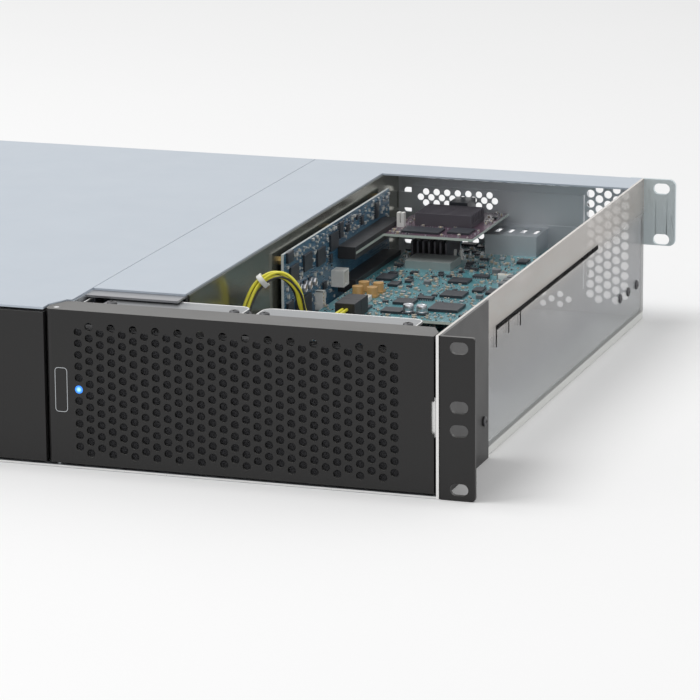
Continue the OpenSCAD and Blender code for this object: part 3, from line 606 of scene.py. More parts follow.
@dataclass(frozen=True)
class Braid(Finish):
    """Woven sleeve: two crossing sets of threads wound round a lead."""

    thread: float = 700.0

    def draw(self, sheet: Sheet) -> None:
        """Draw the weave.

        Args:
            sheet: The empty sheet.
        """
        slants = [sheet.stretched(slant) for slant in ((1.0, 1.0, 1.0), (1.0, -1.0, 1.0))]
        sets = [sheet.wave("DIAGONAL", {"Scale": self.thread, "Vector": slant}) for slant in slants]
        weave = sheet.math("MULTIPLY", *sets)
        colour = sheet.blend(weave, shade(self.colour, 0.4), shade(self.colour, 2.2))
        sheet.give(Base_Color=colour, Roughness=0.75)
        sheet.emboss(weave, strength=0.8, depth=0.0003)


ALONG_X = (40.0, 900.0, 900.0)
UPRIGHT = (900.0, 900.0, 40.0)
EVEN = (900.0, 900.0, 900.0)
CHARCOAL = (0.016, 0.0155, 0.0155)

FINISHES: tuple[Finish, ...] = (
    # The third colour in these two paints is a painted highlight: the paler colour of faces that
    # look up
    PaintedSteel("charcoal_paint", CHARCOAL, 0.4, 1400.0, 0.3, 0.08, (0.10, 0.098, 0.095), 0.35),
    PrintedSteel("door_paint", CHARCOAL, 0.4, 1400.0, 0.3, 0.08, (0.10, 0.098, 0.094), 0.35),
    # Painted shade: the divider's steel is made dark for the shade on its face, and its slight
    # yellow cast is a painted reflection
    RawSteel("divider_paint", (0.23, 0.23, 0.19), 0.17, (40.0, 600.0, 600.0), 0.75),
    PaintedSteel("pale_paint", (0.44, 0.495, 0.56), 0.36, 1000.0, 0.1, 0.03),
    RawSteel("zinc_sheet", (0.60, 0.63, 0.66), 0.42, ALONG_X, 0.7),
    RawSteel("zinc_upright", (0.62, 0.65, 0.68), 0.4, UPRIGHT, 0.7),
    RawSteel("bracket_steel", (0.30, 0.31, 0.32), 0.34, ALONG_X, 0.75),
    RawSteel("raw_edge", (0.80, 0.80, 0.79), 0.3, EVEN, 0.4),
    RawSteel("ear_steel", (0.60, 0.67, 0.69), 0.36, (900.0, 900.0, 50.0), 0.75),
    RawSteel("screw_steel", (0.74, 0.75, 0.76), 0.25, EVEN, 1.0),
    RawSteel("screw_dark", (0.10, 0.10, 0.105), 0.38, EVEN, 0.8),
    RawSteel("brass", (0.72, 0.52, 0.22), 0.3, EVEN, 1.0),
    RawSteel("dark_anodised", (0.13, 0.12, 0.14), 0.42, (500.0, 40.0, 500.0), 0.6),
    RawSteel("solder_tin", (0.66, 0.67, 0.70), 0.3, EVEN, 1.0),
    RawSteel("gold_contact", (0.85, 0.62, 0.2), 0.25, EVEN, 1.0),
    RawSteel("support_steel", (0.33, 0.335, 0.35), 0.36, ALONG_X, 0.7),
    # The second colour of card_sink is painted shade: the dark of the heat sink's part under the
    # short card
    SinkMetal("card_sink", (0.40, 0.45, 0.44), (0.13, 0.12, 0.14), 368.0),
    ClearWall(
        "clear_wall", (0.86, 0.85, 0.84), (0.62, 0.59, 0.55),
        (
            # The first two stops, up to 4 mm, are a painted highlight: the near-white of the lit
            # bend of the base along the wall's foot
            (0.0, 0.92, 0.93, 0.90, 0.85), (4.0, 0.92, 0.93, 0.90, 0.85),
            (5.2, 0.46, 0.47, 0.46, 0.5), (30.0, 0.43, 0.435, 0.45, 0.5),
            (60.0, 0.42, 0.415, 0.415, 0.46), (71.0, 0.47, 0.43, 0.39, 0.64),
            (88.1, 0.50, 0.46, 0.42, 0.66),
        ),
        (
            (110.0, 324.0, 65.0, 68.0), (110.0, 112.5, 55.5, 65.0),
            (134.0, 136.5, 58.0, 65.0), (157.0, 159.5, 57.0, 65.0),
        ),
    ),
    MouldedPlastic("black_plastic", (0.022, 0.022, 0.024), 0.45),
    MouldedPlastic("fan_plastic", (0.02, 0.02, 0.022), 0.36),
    MouldedPlastic("rail_plastic", (0.006, 0.005, 0.005), 0.8, 2200.0, 0.2, 0.15),
    MouldedPlastic("chip_epoxy", (0.03, 0.034, 0.042), 0.4),
    MouldedPlastic("white_nylon", (0.78, 0.78, 0.75), 0.4),
    MouldedPlastic("ceramic_tan", (0.48, 0.41, 0.31), 0.5),
    MouldedPlastic("ceramic_pale", (0.62, 0.62, 0.58), 0.45),
    MouldedPlastic("ferrite_grey", (0.16, 0.17, 0.18), 0.6),
    MouldedPlastic("winding_amber", (0.50, 0.30, 0.11), 0.4),
    MouldedPlastic("wire_yellow", (0.80, 0.74, 0.06), 0.35, 900.0, 0.1),
    MouldedPlastic("wire_dark", (0.03, 0.03, 0.03), 0.4, 900.0, 0.1),
    MouldedPlastic("blank_label", (0.5, 0.52, 0.54), 0.45),
    CircuitBoard(
        "riser_mask", (0.022, 0.085, 0.15), (0.05, 0.16, 0.25),
        axes=("Y", "Z"), across="X", edge=(0.74, 0.79, 0.80),
    ),
    CircuitBoard("teal_mask", (0.062, 0.215, 0.25), (0.10, 0.31, 0.35)),
    CircuitBoard("dark_mask", (0.07, 0.035, 0.06), (0.13, 0.07, 0.1)),
    CircuitBoard("host_mask", (0.02, 0.10, 0.09), (0.04, 0.17, 0.15)),
    Foam("filter_foam", (0.02, 0.02, 0.022)),
    Glow("status_blue", (0.01, 0.17, 0.70), (0.40, 0.80, 1.0), 0.9),
    Braid("braided_sleeve", (0.03, 0.03, 0.03)),
)


# Mesh building


Form = tuple[list[Vector], list[tuple[int, ...]]]


def circle(count: int) -> list[float]:
    """Return evenly spaced angles round a full turn."""
    return [2 * math.pi * k / count for k in range(count)]


@lru_cache(maxsize=None)
def box_form(size: Triple, bevel: float) -> Form:
    """Make a box that stands on the XY plane, with bevelled edges.

    Args:
        size: Width, length and height.
        bevel: Width of the bevel, or zero.

    Returns:
        Its points and faces.
    """
    mesh = bmesh.new()
    made = bmesh.ops.create_cube(mesh, size=1.0)["verts"]
    stand = Matrix.Diagonal((*size, 1)) @ shift(0, 0, 0.5)
    bmesh.ops.transform(mesh, matrix=stand, verts=made)
    if bevel:
        edges = list(mesh.edges)
        bmesh.ops.bevel(mesh, geom=edges, offset=bevel, segments=2, affect="EDGES", profile=0.6)
    mesh.verts.index_update()
    points = [vert.co.copy() for vert in mesh.verts]
    faces = [tuple(vert.index for vert in face.verts) for face in mesh.faces]
    mesh.free()
    return points, faces


@lru_cache(maxsize=None)
def lathe_form(profile: tuple[Pair, ...], sides: int) -> Form:
    """Make a turned form about Z.

    Args:
        profile: Pairs of radius and height, from the bottom centre to the top centre.
        sides: Steps round the axis.

    Returns:
        Its points and faces.
    """
    points, rings, faces = [], [], []
    for radius, height in profile:
        first = len(points)
        if radius:
            points += [
                Vector((radius * math.cos(a), radius * math.sin(a), height)) for a in circle(sides)
            ]
        else:
            points.append(Vector((0, 0, height)))
        rings.append(range(first, len(points)))
    for low, high in zip(rings, rings[1:]):
        for k in range(sides):
            n = (k + 1) % sides
            under = (low[k % len(low)], low[n % len(low)])
            over = (high[n % len(high)], high[k % len(high)])
            loop = tuple(dict.fromkeys(under + over))
            if len(loop) > 2:
                faces.append(loop)
    return points, faces


class Draft:
    """A piece in the making, gathered from simple forms in millimetres."""

    def __init__(self) -> None:
        """Start empty."""
        self.points: list[Vector] = []
        self.faces: list[tuple[int, ...]] = []
        self.marks: list[int] = []
        self.finish = 0

    def add(self, form: Form, matrix: Matrix) -> None:
        """Add a form with the current finish.

        Args:
            form: Its points and faces.
            matrix: Its place, in millimetres.
        """
        points, faces = form
        first = len(self.points)
        self.points.extend(matrix @ point for point in points)
        self.faces.extend(tuple(first + index for index in face) for face in faces)
        self.marks.extend([self.finish] * len(faces))

    def block(self, size: Triple, matrix: Matrix, bevel: float = 0.0) -> None:
        """Add a box that stands on its local XY plane.

        Args:
            size: Width, length and height.
            matrix: Its place, in millimetres.
            bevel: Width of the bevel on its edges.
        """
        self.add(box_form(tuple(size), bevel), matrix)

    def lathe(self, profile: Sequence[Pair], matrix: Matrix, sides: int = 24) -> None:
        """Add a turned form about its local Z.

        Args:
            profile: Pairs of radius and height, from the bottom centre to the top centre.
            matrix: Its place, in millimetres.
            sides: Steps round the axis.
        """
        self.add(lathe_form(tuple(profile), sides), matrix)

    def plate(self, outline: Sequence[Pair], height: float, matrix: Matrix) -> None:
        """Add a flat plate with any outline that stands on its local XY plane.

        Args:
            outline: Corners, anticlockwise.
            height: Thickness.
            matrix: Its place, in millimetres.
        """
        count = len(outline)
        points = [Vector((x, y, z)) for z in (0.0, height) for x, y in outline]
        faces = [tuple(reversed(range(count))), tuple(range(count, 2 * count))]
        for k in range(count):
            n = (k + 1) % count
            faces.append((k, n, count + n, count + k))
        self.add((points, faces), matrix)

    def tube(self, route: Sequence[Vector], radius: float, sides: int = 12) -> None:
        """Add a round tube along a route in millimetres, with closed ends.

        Args:
            route: Its centre line.
            radius: Its radius.
            sides: Steps round it.
        """
        last = len(route) - 1
        across = (route[1] - route[0]).orthogonal().normalized()
        points = []
        for i, point in enumerate(route):
            head = (route[min(i + 1, last)] - route[max(i - 1, 0)]).normalized()
            across = (across - head * across.dot(head)).normalized()
            up = head.cross(across)
            ring = [across * math.cos(a) + up * math.sin(a) for a in circle(sides)]
            points += [point + out * radius for out in ring]
        faces = [tuple(reversed(range(sides))), tuple(range(last * sides, (last + 1) * sides))]
        for i in range(last):
            for k in range(sides):
                low, following = i * sides + k, i * sides + (k + 1) % sides
                faces.append((low, following, following + sides, low + sides))
        self.add((points, faces), Matrix.Identity(4))

    def mesh(
        self, name: str, points: Sequence[Vector], sharp: float | None = None
    ) -> bpy.types.Mesh:
        """Make a mesh with its faces turned outward.

        Args:
            name: The mesh's name.
            points: The draft's points, in the unit and place wanted.
            sharp: Edges under this angle in degrees are shaded smooth, or None for flat faces.

        Returns:
            The new mesh.
        """
        data = bpy.data.meshes.new(name)
        data.from_pydata(points, [], self.faces)
        data.polygons.foreach_set("material_index", self.marks)
        mesh = bmesh.new()
        mesh.from_mesh(data)
        bmesh.ops.recalc_face_normals(mesh, faces=mesh.faces)
        if sharp is not None:
            for face in mesh.faces:
                face.smooth = True
            limit = math.radians(sharp)
            for edge in mesh.edges:
                if len(edge.link_faces) == 2 and edge.calc_face_angle(0.0) > limit:
                    edge.smooth = False
        mesh.to_mesh(data)
        mesh.free()
        return data

    def finish_as(
        self, name: str, materials: Sequence[bpy.types.Material], body: str, slot: str,
        smooth: float = 35.0,
    ) -> bpy.types.Object:
        """Turn the draft into a piece of the frame.

        Args:
            name: The piece's name.
            materials: Its finishes, in the order of the indices used.
            body: The body that it rides on.
            slot: The record's material slot meant for its finish; not used.
            smooth: Edges under this angle in degrees are shaded smooth.

        Returns:
            The new object.
        """
        away = Vector((0, FRONT_Y, 0))
        data = self.mesh(name, [(point + away) * MM for point in self.points], smooth)
        for material in materials:
            data.materials.append(material)
        made = add_object(name, data)
        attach(made, body)
        LOG.info("piece %s rides on %s, %d faces", name, body, len(data.polygons))
        return made


def smooth_route(points: Sequence[Triple], steps: int = 8) -> list[Vector]:
    """Draw a Catmull-Rom curve through the points.

    Args:
        points: Route points in millimetres.
        steps: Steps between two points.

    Returns:
        The curve's points.
    """
    knots = [Vector(point) for point in points]
    last = len(knots) - 1
    route = []
    for i in range(last):
        a, b, c, d = knots[max(i - 1, 0)], knots[i], knots[i + 1], knots[min(i + 2, last)]
        for k in range(steps):
            t = k / steps
            square = (2 * a - 5 * b + 4 * c - d) * t ** 2
            cube = (3 * b - a - 3 * c + d) * t ** 3
            route.append(0.5 * (2 * b + (c - a) * t + square + cube))
    route.append(knots[last])
    return route


def node_box(name: str) -> tuple[Vector, Vector]:
    """Find a CAD node's box in millimetres, with Y counted from the front face.

    Args:
        name: The node's name.

    Returns:
        Its low and high corners.
    """
    low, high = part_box(name)
    away = Vector((0, FRONT_Y, 0))
    return low / MM - away, high / MM - away


@dataclass
class Assembly:
    """What every sub-assembly shares: the frame, the palette and the way to dress a node."""

    frame: dict
    palette: Palette
    body: str = "chassis"
    weld: float = 0.000002
    bend: float = 50.0

    def dress(self, finish: str, *nodes: str, bevel: float = 0.0) -> None:
        """Give CAD nodes a finish, with their corners welded and a small edge bevel.

        Args:
            finish: The finish's name.
            nodes: The nodes.
            bevel: Width of the edge bevel in millimetres, or zero.
        """
        for name in nodes:
            piece = self.frame["nodes"][name]
            piece.data.materials.clear()
            piece.data.materials.append(self.palette[finish])
            weld = piece.modifiers.new("corners", "WELD")
            weld.merge_threshold = self.weld
            if bevel:
                made = piece.modifiers.new("edges", "BEVEL")
                made.width = bevel * MM
                made.segments = 2
                made.limit_method = "ANGLE"
                made.angle_limit = math.radians(self.bend)
            LOG.info("node %s takes %s", name, finish)

    def build(self) -> None:
        """Build the sub-assembly."""
        raise NotImplementedError


# Boards


class Side(Enum):
    """The face of a circuit board that its parts stand on."""

    UP = "up"
    RIGHT = "right"

    def matrix(self) -> Matrix:
        """Turn local +Z to the side's outward direction.

        Returns:
            A rotation whose local X and Y lie in the face.
        """
        if self is Side.UP:
            return Matrix.Identity(4)
        return Matrix(((0, 0, 1, 0), (1, 0, 0, 0), (0, 1, 0, 0), (0, 0, 0, 1)))


class Part(Enum):
    """The kinds of small part that a circuit board carries."""

    RESISTOR = "resistor"
    CERAMIC = "ceramic"
    CHIP = "chip"
    CAN = "can"
    COIL = "coil"
    CRYSTAL = "crystal"
    HEADER = "header"


@dataclass
class SmallPart:
    """One part while it is drawn: the draft it goes to, its place on the board and its size."""

    draft: Draft
    base: Matrix
    width: float
    length: float
    height: float

    def box(self, mark: int, size: Triple, place: Triple = (0, 0, 0), bevel: float = 0.0) -> None:
        """Add a box to the part.

        Args:
            mark: Index of the finish in the kind's pair of finishes.
            size: Width, length and height.
            place: The middle of its foot, from the middle of the part's foot.
            bevel: Width of the bevel, or zero.
        """
        self.draft.finish = mark
        self.draft.block(size, self.base @ shift(*place), bevel)

    def end_capped(self) -> None:
        """Draw a body with tinned ends, as on a chip resistor or capacitor."""
        cap = self.width * 0.22
        self.box(0, (self.width - 2 * cap, self.length, self.height), bevel=0.06)
        tinned = (cap, self.length * 1.02, self.height * 1.04)
        for sign in (-1, 1):
            self.box(1, tinned, (sign * (self.width - cap) / 2, 0, 0), 0.05)

    def legged_chip(self) -> None:
        """Draw a moulded chip with a row of bent legs on two sides."""
        self.box(0, (self.width - 1.6, self.length, self.height), (0, 0, 0.1), 0.15)
        count = max(3, int(self.length))
        foot, knee = self.width / 2 - 0.3, self.width / 2 - 0.65
        for sign in (-1, 1):
            for k in range(count):
                y = (k - (count - 1) / 2) * (self.length / count)
                self.box(1, (0.6, 0.36, 0.16), (sign * foot, y, 0))
                self.box(1, (0.18, 0.36, self.height * 0.55), (sign * knee, y, 0))

    def metal_can(self) -> None:
        """Draw a capacitor can on its square foot, with a rolled groove and a dished top."""
        radius, top, foot = self.width / 2, self.height, 0.8
        self.box(1, (self.width * 1.08, self.length * 1.08, foot), bevel=0.1)
        self.draft.finish = 0
        profile = [
            (0, foot), (radius * 0.92, foot), (radius, 1.2), (radius, 1.8), (radius * 0.94, 2.1),
            (radius, 2.4), (radius, top - 0.4), (radius * 0.93, top), (radius * 0.8, top),
            (radius * 0.76, top - 0.15), (0, top - 0.15),
        ]
        self.draft.lathe(profile, self.base, sides=20)

    def power_coil(self) -> None:
        """Draw a shielded power coil with chamfered corners and two feet."""
        cut = self.width * 0.14
        w, l = self.width / 2, self.length / 2
        outline = [
            (-w + cut, -l), (w - cut, -l), (w, -l + cut), (w, l - cut),
            (w - cut, l), (-w + cut, l), (-w, l - cut), (-w, -l + cut),
        ]
        self.draft.finish = 0
        self.draft.plate(outline, self.height, self.base @ shift(0, 0, 0.15))
        for sign in (-1, 1):
            self.box(1, (self.width * 0.16, self.length * 0.5, 0.3), (sign * w * 0.95, 0, 0))

    def metal_crystal(self) -> None:
        """Draw a small can with a lidded rim."""
        self.box(1, (self.width, self.length, self.height * 0.4), bevel=0.1)
        self.box(0, (self.width * 0.86, self.length * 0.9, self.height), bevel=0.2)

    def pin_header(self) -> None:
        """Draw an open box header with a row of pins inside."""
        wall, floor, pitch = 0.7, 1.0, 2.0
        across, along = self.width - wall, self.length - wall
        for sign in (-1, 1):
            self.box(0, (wall, self.length, self.height), (sign * across / 2, 0, 0), 0.1)
            self.box(0, (self.width, wall, self.height), (0, sign * along / 2, 0), 0.1)
        self.box(0, (across, along, floor))
        count = max(2, int((self.length - 2 * wall) / pitch))
        for k in range(count):
            y = (k - (count - 1) / 2) * pitch
            self.box(1, (0.5, 0.5, self.height - floor), (0, y, 0.8), 0.08)


MAKERS: dict[Part, Callable[[SmallPart], None]] = {
    Part.RESISTOR: SmallPart.end_capped,
    Part.CERAMIC: SmallPart.end_capped,
    Part.CHIP: SmallPart.legged_chip,
    Part.CAN: SmallPart.metal_can,
    Part.COIL: SmallPart.power_coil,
    Part.CRYSTAL: SmallPart.metal_crystal,
    Part.HEADER: SmallPart.pin_header,
}

RESISTORS = ((1.6, 0.8, 0.45), (2.0, 1.2, 0.5), (1.0, 0.5, 0.35))
CERAMICS = ((1.6, 0.8, 0.8), (2.0, 1.2, 1.0), (3.2, 1.6, 1.3))
CHIPS = ((6.0, 5.0, 1.4), (4.4, 3.0, 1.1), (7.8, 9.6, 1.6), (5.0, 3.2, 1.2))
CRYSTALS = ((5.0, 3.2, 1.2), (3.2, 2.5, 0.9))
COILS = ((4.0, 4.0, 2.0), (5.0, 5.0, 2.6))
WIDE_COIL = (7.0, 7.0, 3.0)
WIDE_CAN = (6.3, 6.3, 5.6)
SLIM_CAN = (5.0, 5.0, 4.4)

Fixed = tuple[Part, float, float, Triple]
Crowd = tuple[Part, int, Sequence[Triple]]


def footprint(size: Triple, turn: float) -> Pair:
    """Return a part's extent along the face's two axes, swapped when it is turned."""
    return (size[1], size[0]) if turn else (size[0], size[1])


@dataclass
class BoardParts:
    """Small parts on one face of a board, gathered into one piece for each kind.

    The taken fields, as limits along the face's two axes, are kept clear of scattered parts.
    """

    label: str
    side: Side
    origin: Triple
    palette: Palette
    seed: int
    taken: list[Patch]
    ceramic: str = "ceramic_tan"
    slot: str = "chip_plastic"
    room: float = 0.25
    gap: float = 0.3
    drafts: dict[Part, Draft] = field(default_factory=dict)

    def __post_init__(self) -> None:
        """Seed the board's own random draws."""
        self.random = random.Random(self.seed)

    def free(self, x: float, y: float, half_x: float, half_y: float) -> bool:
        """Tell whether a footprint is clear of every taken field.

        Args:
            x: Its middle along the first axis.
            y: Its middle along the second axis.
            half_x: Half its size along the first axis, with the gap.
            half_y: Half its size along the second axis, with the gap.

        Returns:
            True when it is clear.
        """
        return all(
            x + half_x < x0 or x - half_x > x1 or y + half_y < y0 or y - half_y > y1
            for x0, x1, y0, y1 in self.taken
        )

    def place(self, kind: Part, x: float, y: float, size: Triple, turn: float = 0.0) -> None:
        """Stand one part on the board.

        Args:
            kind: What it is.
            x: Its place along the face's first axis, in millimetres from the origin.
            y: Its place along the second axis.
            size: Width, length and height.
            turn: Nought or ninety degrees about the face's normal.
        """
        flat = shift(x, y, 0) @ Matrix.Rotation(math.radians(turn), 4, "Z")
        base = shift(*self.origin) @ self.side.matrix() @ flat
        MAKERS[kind](SmallPart(self.drafts.setdefault(kind, Draft()), base, *size))
        wide_x, wide_y = footprint(size, turn)
        room_x, room_y = wide_x / 2 + self.room, wide_y / 2 + self.room
        self.taken.append((x - room_x, x + room_x, y - room_y, y + room_y))

    def stand(self, fixed: Sequence[Fixed]) -> None:
        """Stand parts in fixed places, each given as its kind, place and size."""
        for kind, x, y, size in fixed:
            self.place(kind, x, y, size)

    def scatter(
        self, kind: Part, count: int, field_x: Pair, field_y: Pair, sizes: Sequence[Triple]
    ) -> None:
        """Scatter parts over a field on a half-millimetre grid, clear of each other.

        Args:
            kind: What they are.
            count: How many to try.
            field_x: Limits along the first axis.
            field_y: Limits along the second axis.
            sizes: Sizes to choose from.
        """
        for _ in range(count):
            size = self.random.choice(sizes)
            turn = self.random.choice((0.0, 90.0))
            x = round(self.random.uniform(*field_x) * 2) / 2
            y = round(self.random.uniform(*field_y) * 2) / 2
            wide_x, wide_y = footprint(size, turn)
            if self.free(x, y, wide_x / 2 + self.gap, wide_y / 2 + self.gap):
                self.place(kind, x, y, size, turn)

    def finish(self) -> None:
        """Turn each kind's draft into a piece."""
        looks = {
            Part.RESISTOR: ("chip_epoxy", "solder_tin"),
            Part.CERAMIC: (self.ceramic, "solder_tin"),
            Part.CHIP: ("chip_epoxy", "solder_tin"),
            Part.CAN: ("solder_tin", "chip_epoxy"),
            Part.COIL: ("ferrite_grey", "solder_tin"),
            Part.CRYSTAL: ("solder_tin", "ferrite_grey"),
            Part.HEADER: ("white_nylon", "gold_contact"),
        }
        for kind, draft in self.drafts.items():
            materials = [self.palette[name] for name in looks[kind]]
            draft.finish_as(f"{self.label}_{kind.value}s", materials, "chassis", self.slot)


@dataclass
class LongCard(Assembly):
    """The full-height card in the middle slot."""

    reserved: tuple[Patch, ...] = (
        (114, 128, 227, 264), (139, 159, 239, 259), (135, 151, 275, 291), (91, 107, 231, 243),
        (159, 173, 289, 303), (129, 143, 311, 325), (85, 97, 307, 323), (84, 102, 261, 284),
        (92, 123, 343, 367), (87, 112, 371, 401), (113, 121, 374, 380), (127, 162, 395, 425),
        (94, 108, 215, 232), (70, 81, 290, 382),
    )
    fixed: tuple[Fixed, ...] = (
        (Part.HEADER, 159.5, 333.5, (9.0, 4.0, 3.0)), (Part.HEADER, 97.5, 252.0, (5.0, 14.0, 3.0)),
        (Part.CAN, 131.0, 232.0, WIDE_CAN), (Part.CAN, 139.0, 232.0, WIDE_CAN),
        (Part.COIL, 166.0, 312.0, WIDE_COIL), (Part.CAN, 175.0, 312.0, WIDE_CAN),
        (Part.COIL, 166.0, 321.0, WIDE_COIL), (Part.CAN, 175.0, 321.0, WIDE_CAN),
        (Part.COIL, 166.0, 330.0, WIDE_COIL), (Part.CAN, 175.0, 330.0, WIDE_CAN),
    )
    margins: Patch = (9.5, 2, 2, 4)
    crowd: tuple[Crowd, ...] = (
        (Part.CHIP, 90, CHIPS), (Part.CRYSTAL, 12, CRYSTALS), (Part.COIL, 24, COILS),
        (Part.CERAMIC, 900, CERAMICS), (Part.RESISTOR, 900, RESISTORS),
    )
    post_x: Pair = (115.0, 118.6)
    post_y: float = 377.0
    post_height: float = 6.2

    def build(self) -> None:
        """Dress the card and populate its upper face."""
        self.dress("teal_mask", "long_card_board")
        self.dress("zinc_upright", "long_card_bracket", "long_card_ports")
        self.dress("card_sink", "long_card_heatsink", bevel=0.1)
        self.dress("winding_amber", "long_card_chokes", bevel=0.2)
        self.dress("chip_epoxy", "long_card_chips", bevel=0.15)
        self.dress("black_plastic", "long_card_power_socket", bevel=0.2)
        low, high = node_box("long_card_board")
        self._posts(high.z)
        origin, taken = (0.0, 0.0, high.z), list(self.reserved)
        parts = BoardParts("long_card", Side.UP, origin, self.palette, seed=11, taken=taken)
        parts.stand(self.fixed)
        left, right, front, rear = self.margins
        x, y = (low.x + left, high.x - right), (low.y + front, high.y - rear)
        for kind, count, sizes in self.crowd:
            parts.scatter(kind, count, x, y, sizes)
        parts.finish()

    def _posts(self, face: float) -> None:
        """Add the two slim white posts beside the finned heat sink.

        Args:
            face: Height of the card's upper face.
        """
        draft = Draft()
        for x in self.post_x:
            foot = shift(x, self.post_y, face)
            draft.block((1.5, 1.5, self.post_height), foot, bevel=0.2)
            draft.block((2.6, 2.6, 1.0), foot, bevel=0.15)
        white = [self.palette["white_nylon"]]
        draft.finish_as("long_card_posts", white, self.body, "white_plastic")


@dataclass
class ShortCard(Assembly):
    """The low-profile card in the top slot."""

    reserved: tuple[Patch, ...] = (
        (87, 113, 351, 367), (115, 131, 355, 371), (89, 127, 373, 403), (101, 115, 405, 425),
        (79, 86, 365, 372),
    )
    first_y: float = 348.0
    margins: Triple = (10, 2, 3)
    crowd: tuple[Crowd, ...] = (
        (Part.CHIP, 20, CHIPS), (Part.CERAMIC, 160, CERAMICS), (Part.RESISTOR, 160, RESISTORS),
    )

    def build(self) -> None:
        """Dress the card and populate its upper face."""
        self.dress("dark_mask", "short_card_board")
        self.dress("zinc_upright", "short_card_bracket")
        self.dress("dark_anodised", "short_card_heatsink", bevel=0.1)
        self.dress("chip_epoxy", "short_card_chips", bevel=0.15)
        self.dress("white_nylon", "short_card_header", bevel=0.1)
        low, high = node_box("short_card_board")
        origin, taken = (0.0, 0.0, high.z), list(self.reserved)
        parts = BoardParts("short_card", Side.UP, origin, self.palette, seed=23, taken=taken)
        left, right, rear = self.margins
        x, y = (low.x + left, high.x - right), (self.first_y, high.y - rear)
        for kind, count, sizes in self.crowd:
            parts.scatter(kind, count, x, y, sizes)
        parts.finish()


@dataclass
class Riser(Assembly):
    """The upright board that carries the three slots, and the small host board behind it."""

    reserved: tuple[Patch, ...] = (
        (203, 219, 59, 71), (227, 243, 61, 73), (251, 267, 59, 71), (275, 291, 63, 75),
        (213, 239, 23, 49), (290, 382, 15, 66), (278, 290, 41, 53),
    )
    fixed: tuple[Fixed, ...] = (
        (Part.HEADER, 252.0, 40.0, (5.0, 12.0, 5.0)), (Part.CAN, 222.0, 54.0, SLIM_CAN),
        (Part.CAN, 231.0, 54.0, SLIM_CAN), (Part.CAN, 240.0, 54.0, SLIM_CAN),
    )
    chips_from_z: float = 40.0
    ceramics_from_z: float = 62.0
    ceramics_to_y: float = 290.0
    host_ports_x: Pair = (98, 128)
    host_chip: Fixed = (Part.CHIP, 115.0, 385.0, (14.0, 12.0, 1.6))
    host_crowd: tuple[tuple[Part, int, float, Sequence[Triple]], ...] = (
        (Part.CHIP, 8, 6, CHIPS), (Part.CERAMIC, 80, 3, CERAMICS),
    )

    def build(self) -> None:
        """Dress the riser and populate the face towards the cards."""
        self.dress("riser_mask", "riser_board")
        self.dress("brass", "board_standoffs")
        self.dress("black_plastic", "slot_connectors", bevel=0.15)
        self.dress("white_nylon", "riser_header", bevel=0.15)
        self.dress("chip_epoxy", "riser_chips", bevel=0.15)
        self.dress("host_mask", "host_board")
        self.dress("zinc_sheet", "host_ports")
        low, high = node_box("riser_board")
        origin, taken = (high.x, 0.0, 0.0), list(self.reserved)
        parts = BoardParts(
            "riser", Side.RIGHT, origin, self.palette, seed=37, taken=taken,
            ceramic="ceramic_pale",
        )
        parts.stand(self.fixed)
        along, tall = (low.y + 3, high.y - 3), (low.z + 4, high.z - 2)
        parts.scatter(Part.CHIP, 40, along, (self.chips_from_z, high.z - 3), CHIPS)
        upper = (self.ceramics_from_z, high.z - 1.5)
        parts.scatter(Part.CERAMIC, 420, along, upper, CERAMICS)
        front = (low.y + 3, self.ceramics_to_y)
        parts.scatter(Part.CERAMIC, 260, front, tall, CERAMICS)
        parts.scatter(Part.RESISTOR, 500, along, tall, RESISTORS)
        parts.finish()
        self._host_parts()

    def _host_parts(self) -> None:
        """Populate the small board behind the host ports."""
        low, high = node_box("host_board")
        origin, taken = (0.0, 0.0, high.z), [(*self.host_ports_x, high.y - 10, high.y + 1)]
        parts = BoardParts("host_board", Side.UP, origin, self.palette, seed=41, taken=taken)
        parts.stand((self.host_chip,))
        for kind, count, rim, sizes in self.host_crowd:
            x, y = (low.x + rim, high.x - rim), (low.y + rim, high.y - 12)
            parts.scatter(kind, count, x, y, sizes)
        parts.finish()


# Front


@dataclass
class FrontDoor(Assembly):
    """The perforated door with its filter, hinge pins, catch magnet and light pipe."""

    body: str = "door"
    plate_x: Pair = (214.0, 219.4)
    plate_z: Pair = (33.0, 54.5)
    plate_t: float = 0.6
    sheet: float = 1.5

    def build(self) -> None:
        """Dress the door and add the plate behind its finger notch."""
        self.dress("door_paint", "front_door", bevel=0.3)
        self.dress("black_plastic", "filter_frame", bevel=0.2)
        self.dress("filter_foam", "door_filter")
        self.dress("screw_steel", "door_hinge_pins", "door_magnet")
        self._finger_plate()
        self.dress("status_blue", "light_pipe", "status_lamp")

    def _finger_plate(self) -> None:
        """Add the bright plate behind the finger notch, fixed to the inside of the door face."""
        draft = Draft()
        (x0, x1), (z0, z1) = self.plate_x, self.plate_z
        foot = shift((x0 + x1) / 2, self.sheet + self.plate_t / 2, z0)
        draft.block((x1 - x0, self.plate_t, z1 - z0), foot, bevel=0.1)
        draft.finish_as("finger_plate", [self.palette["raw_edge"]], self.body, "bright_steel")


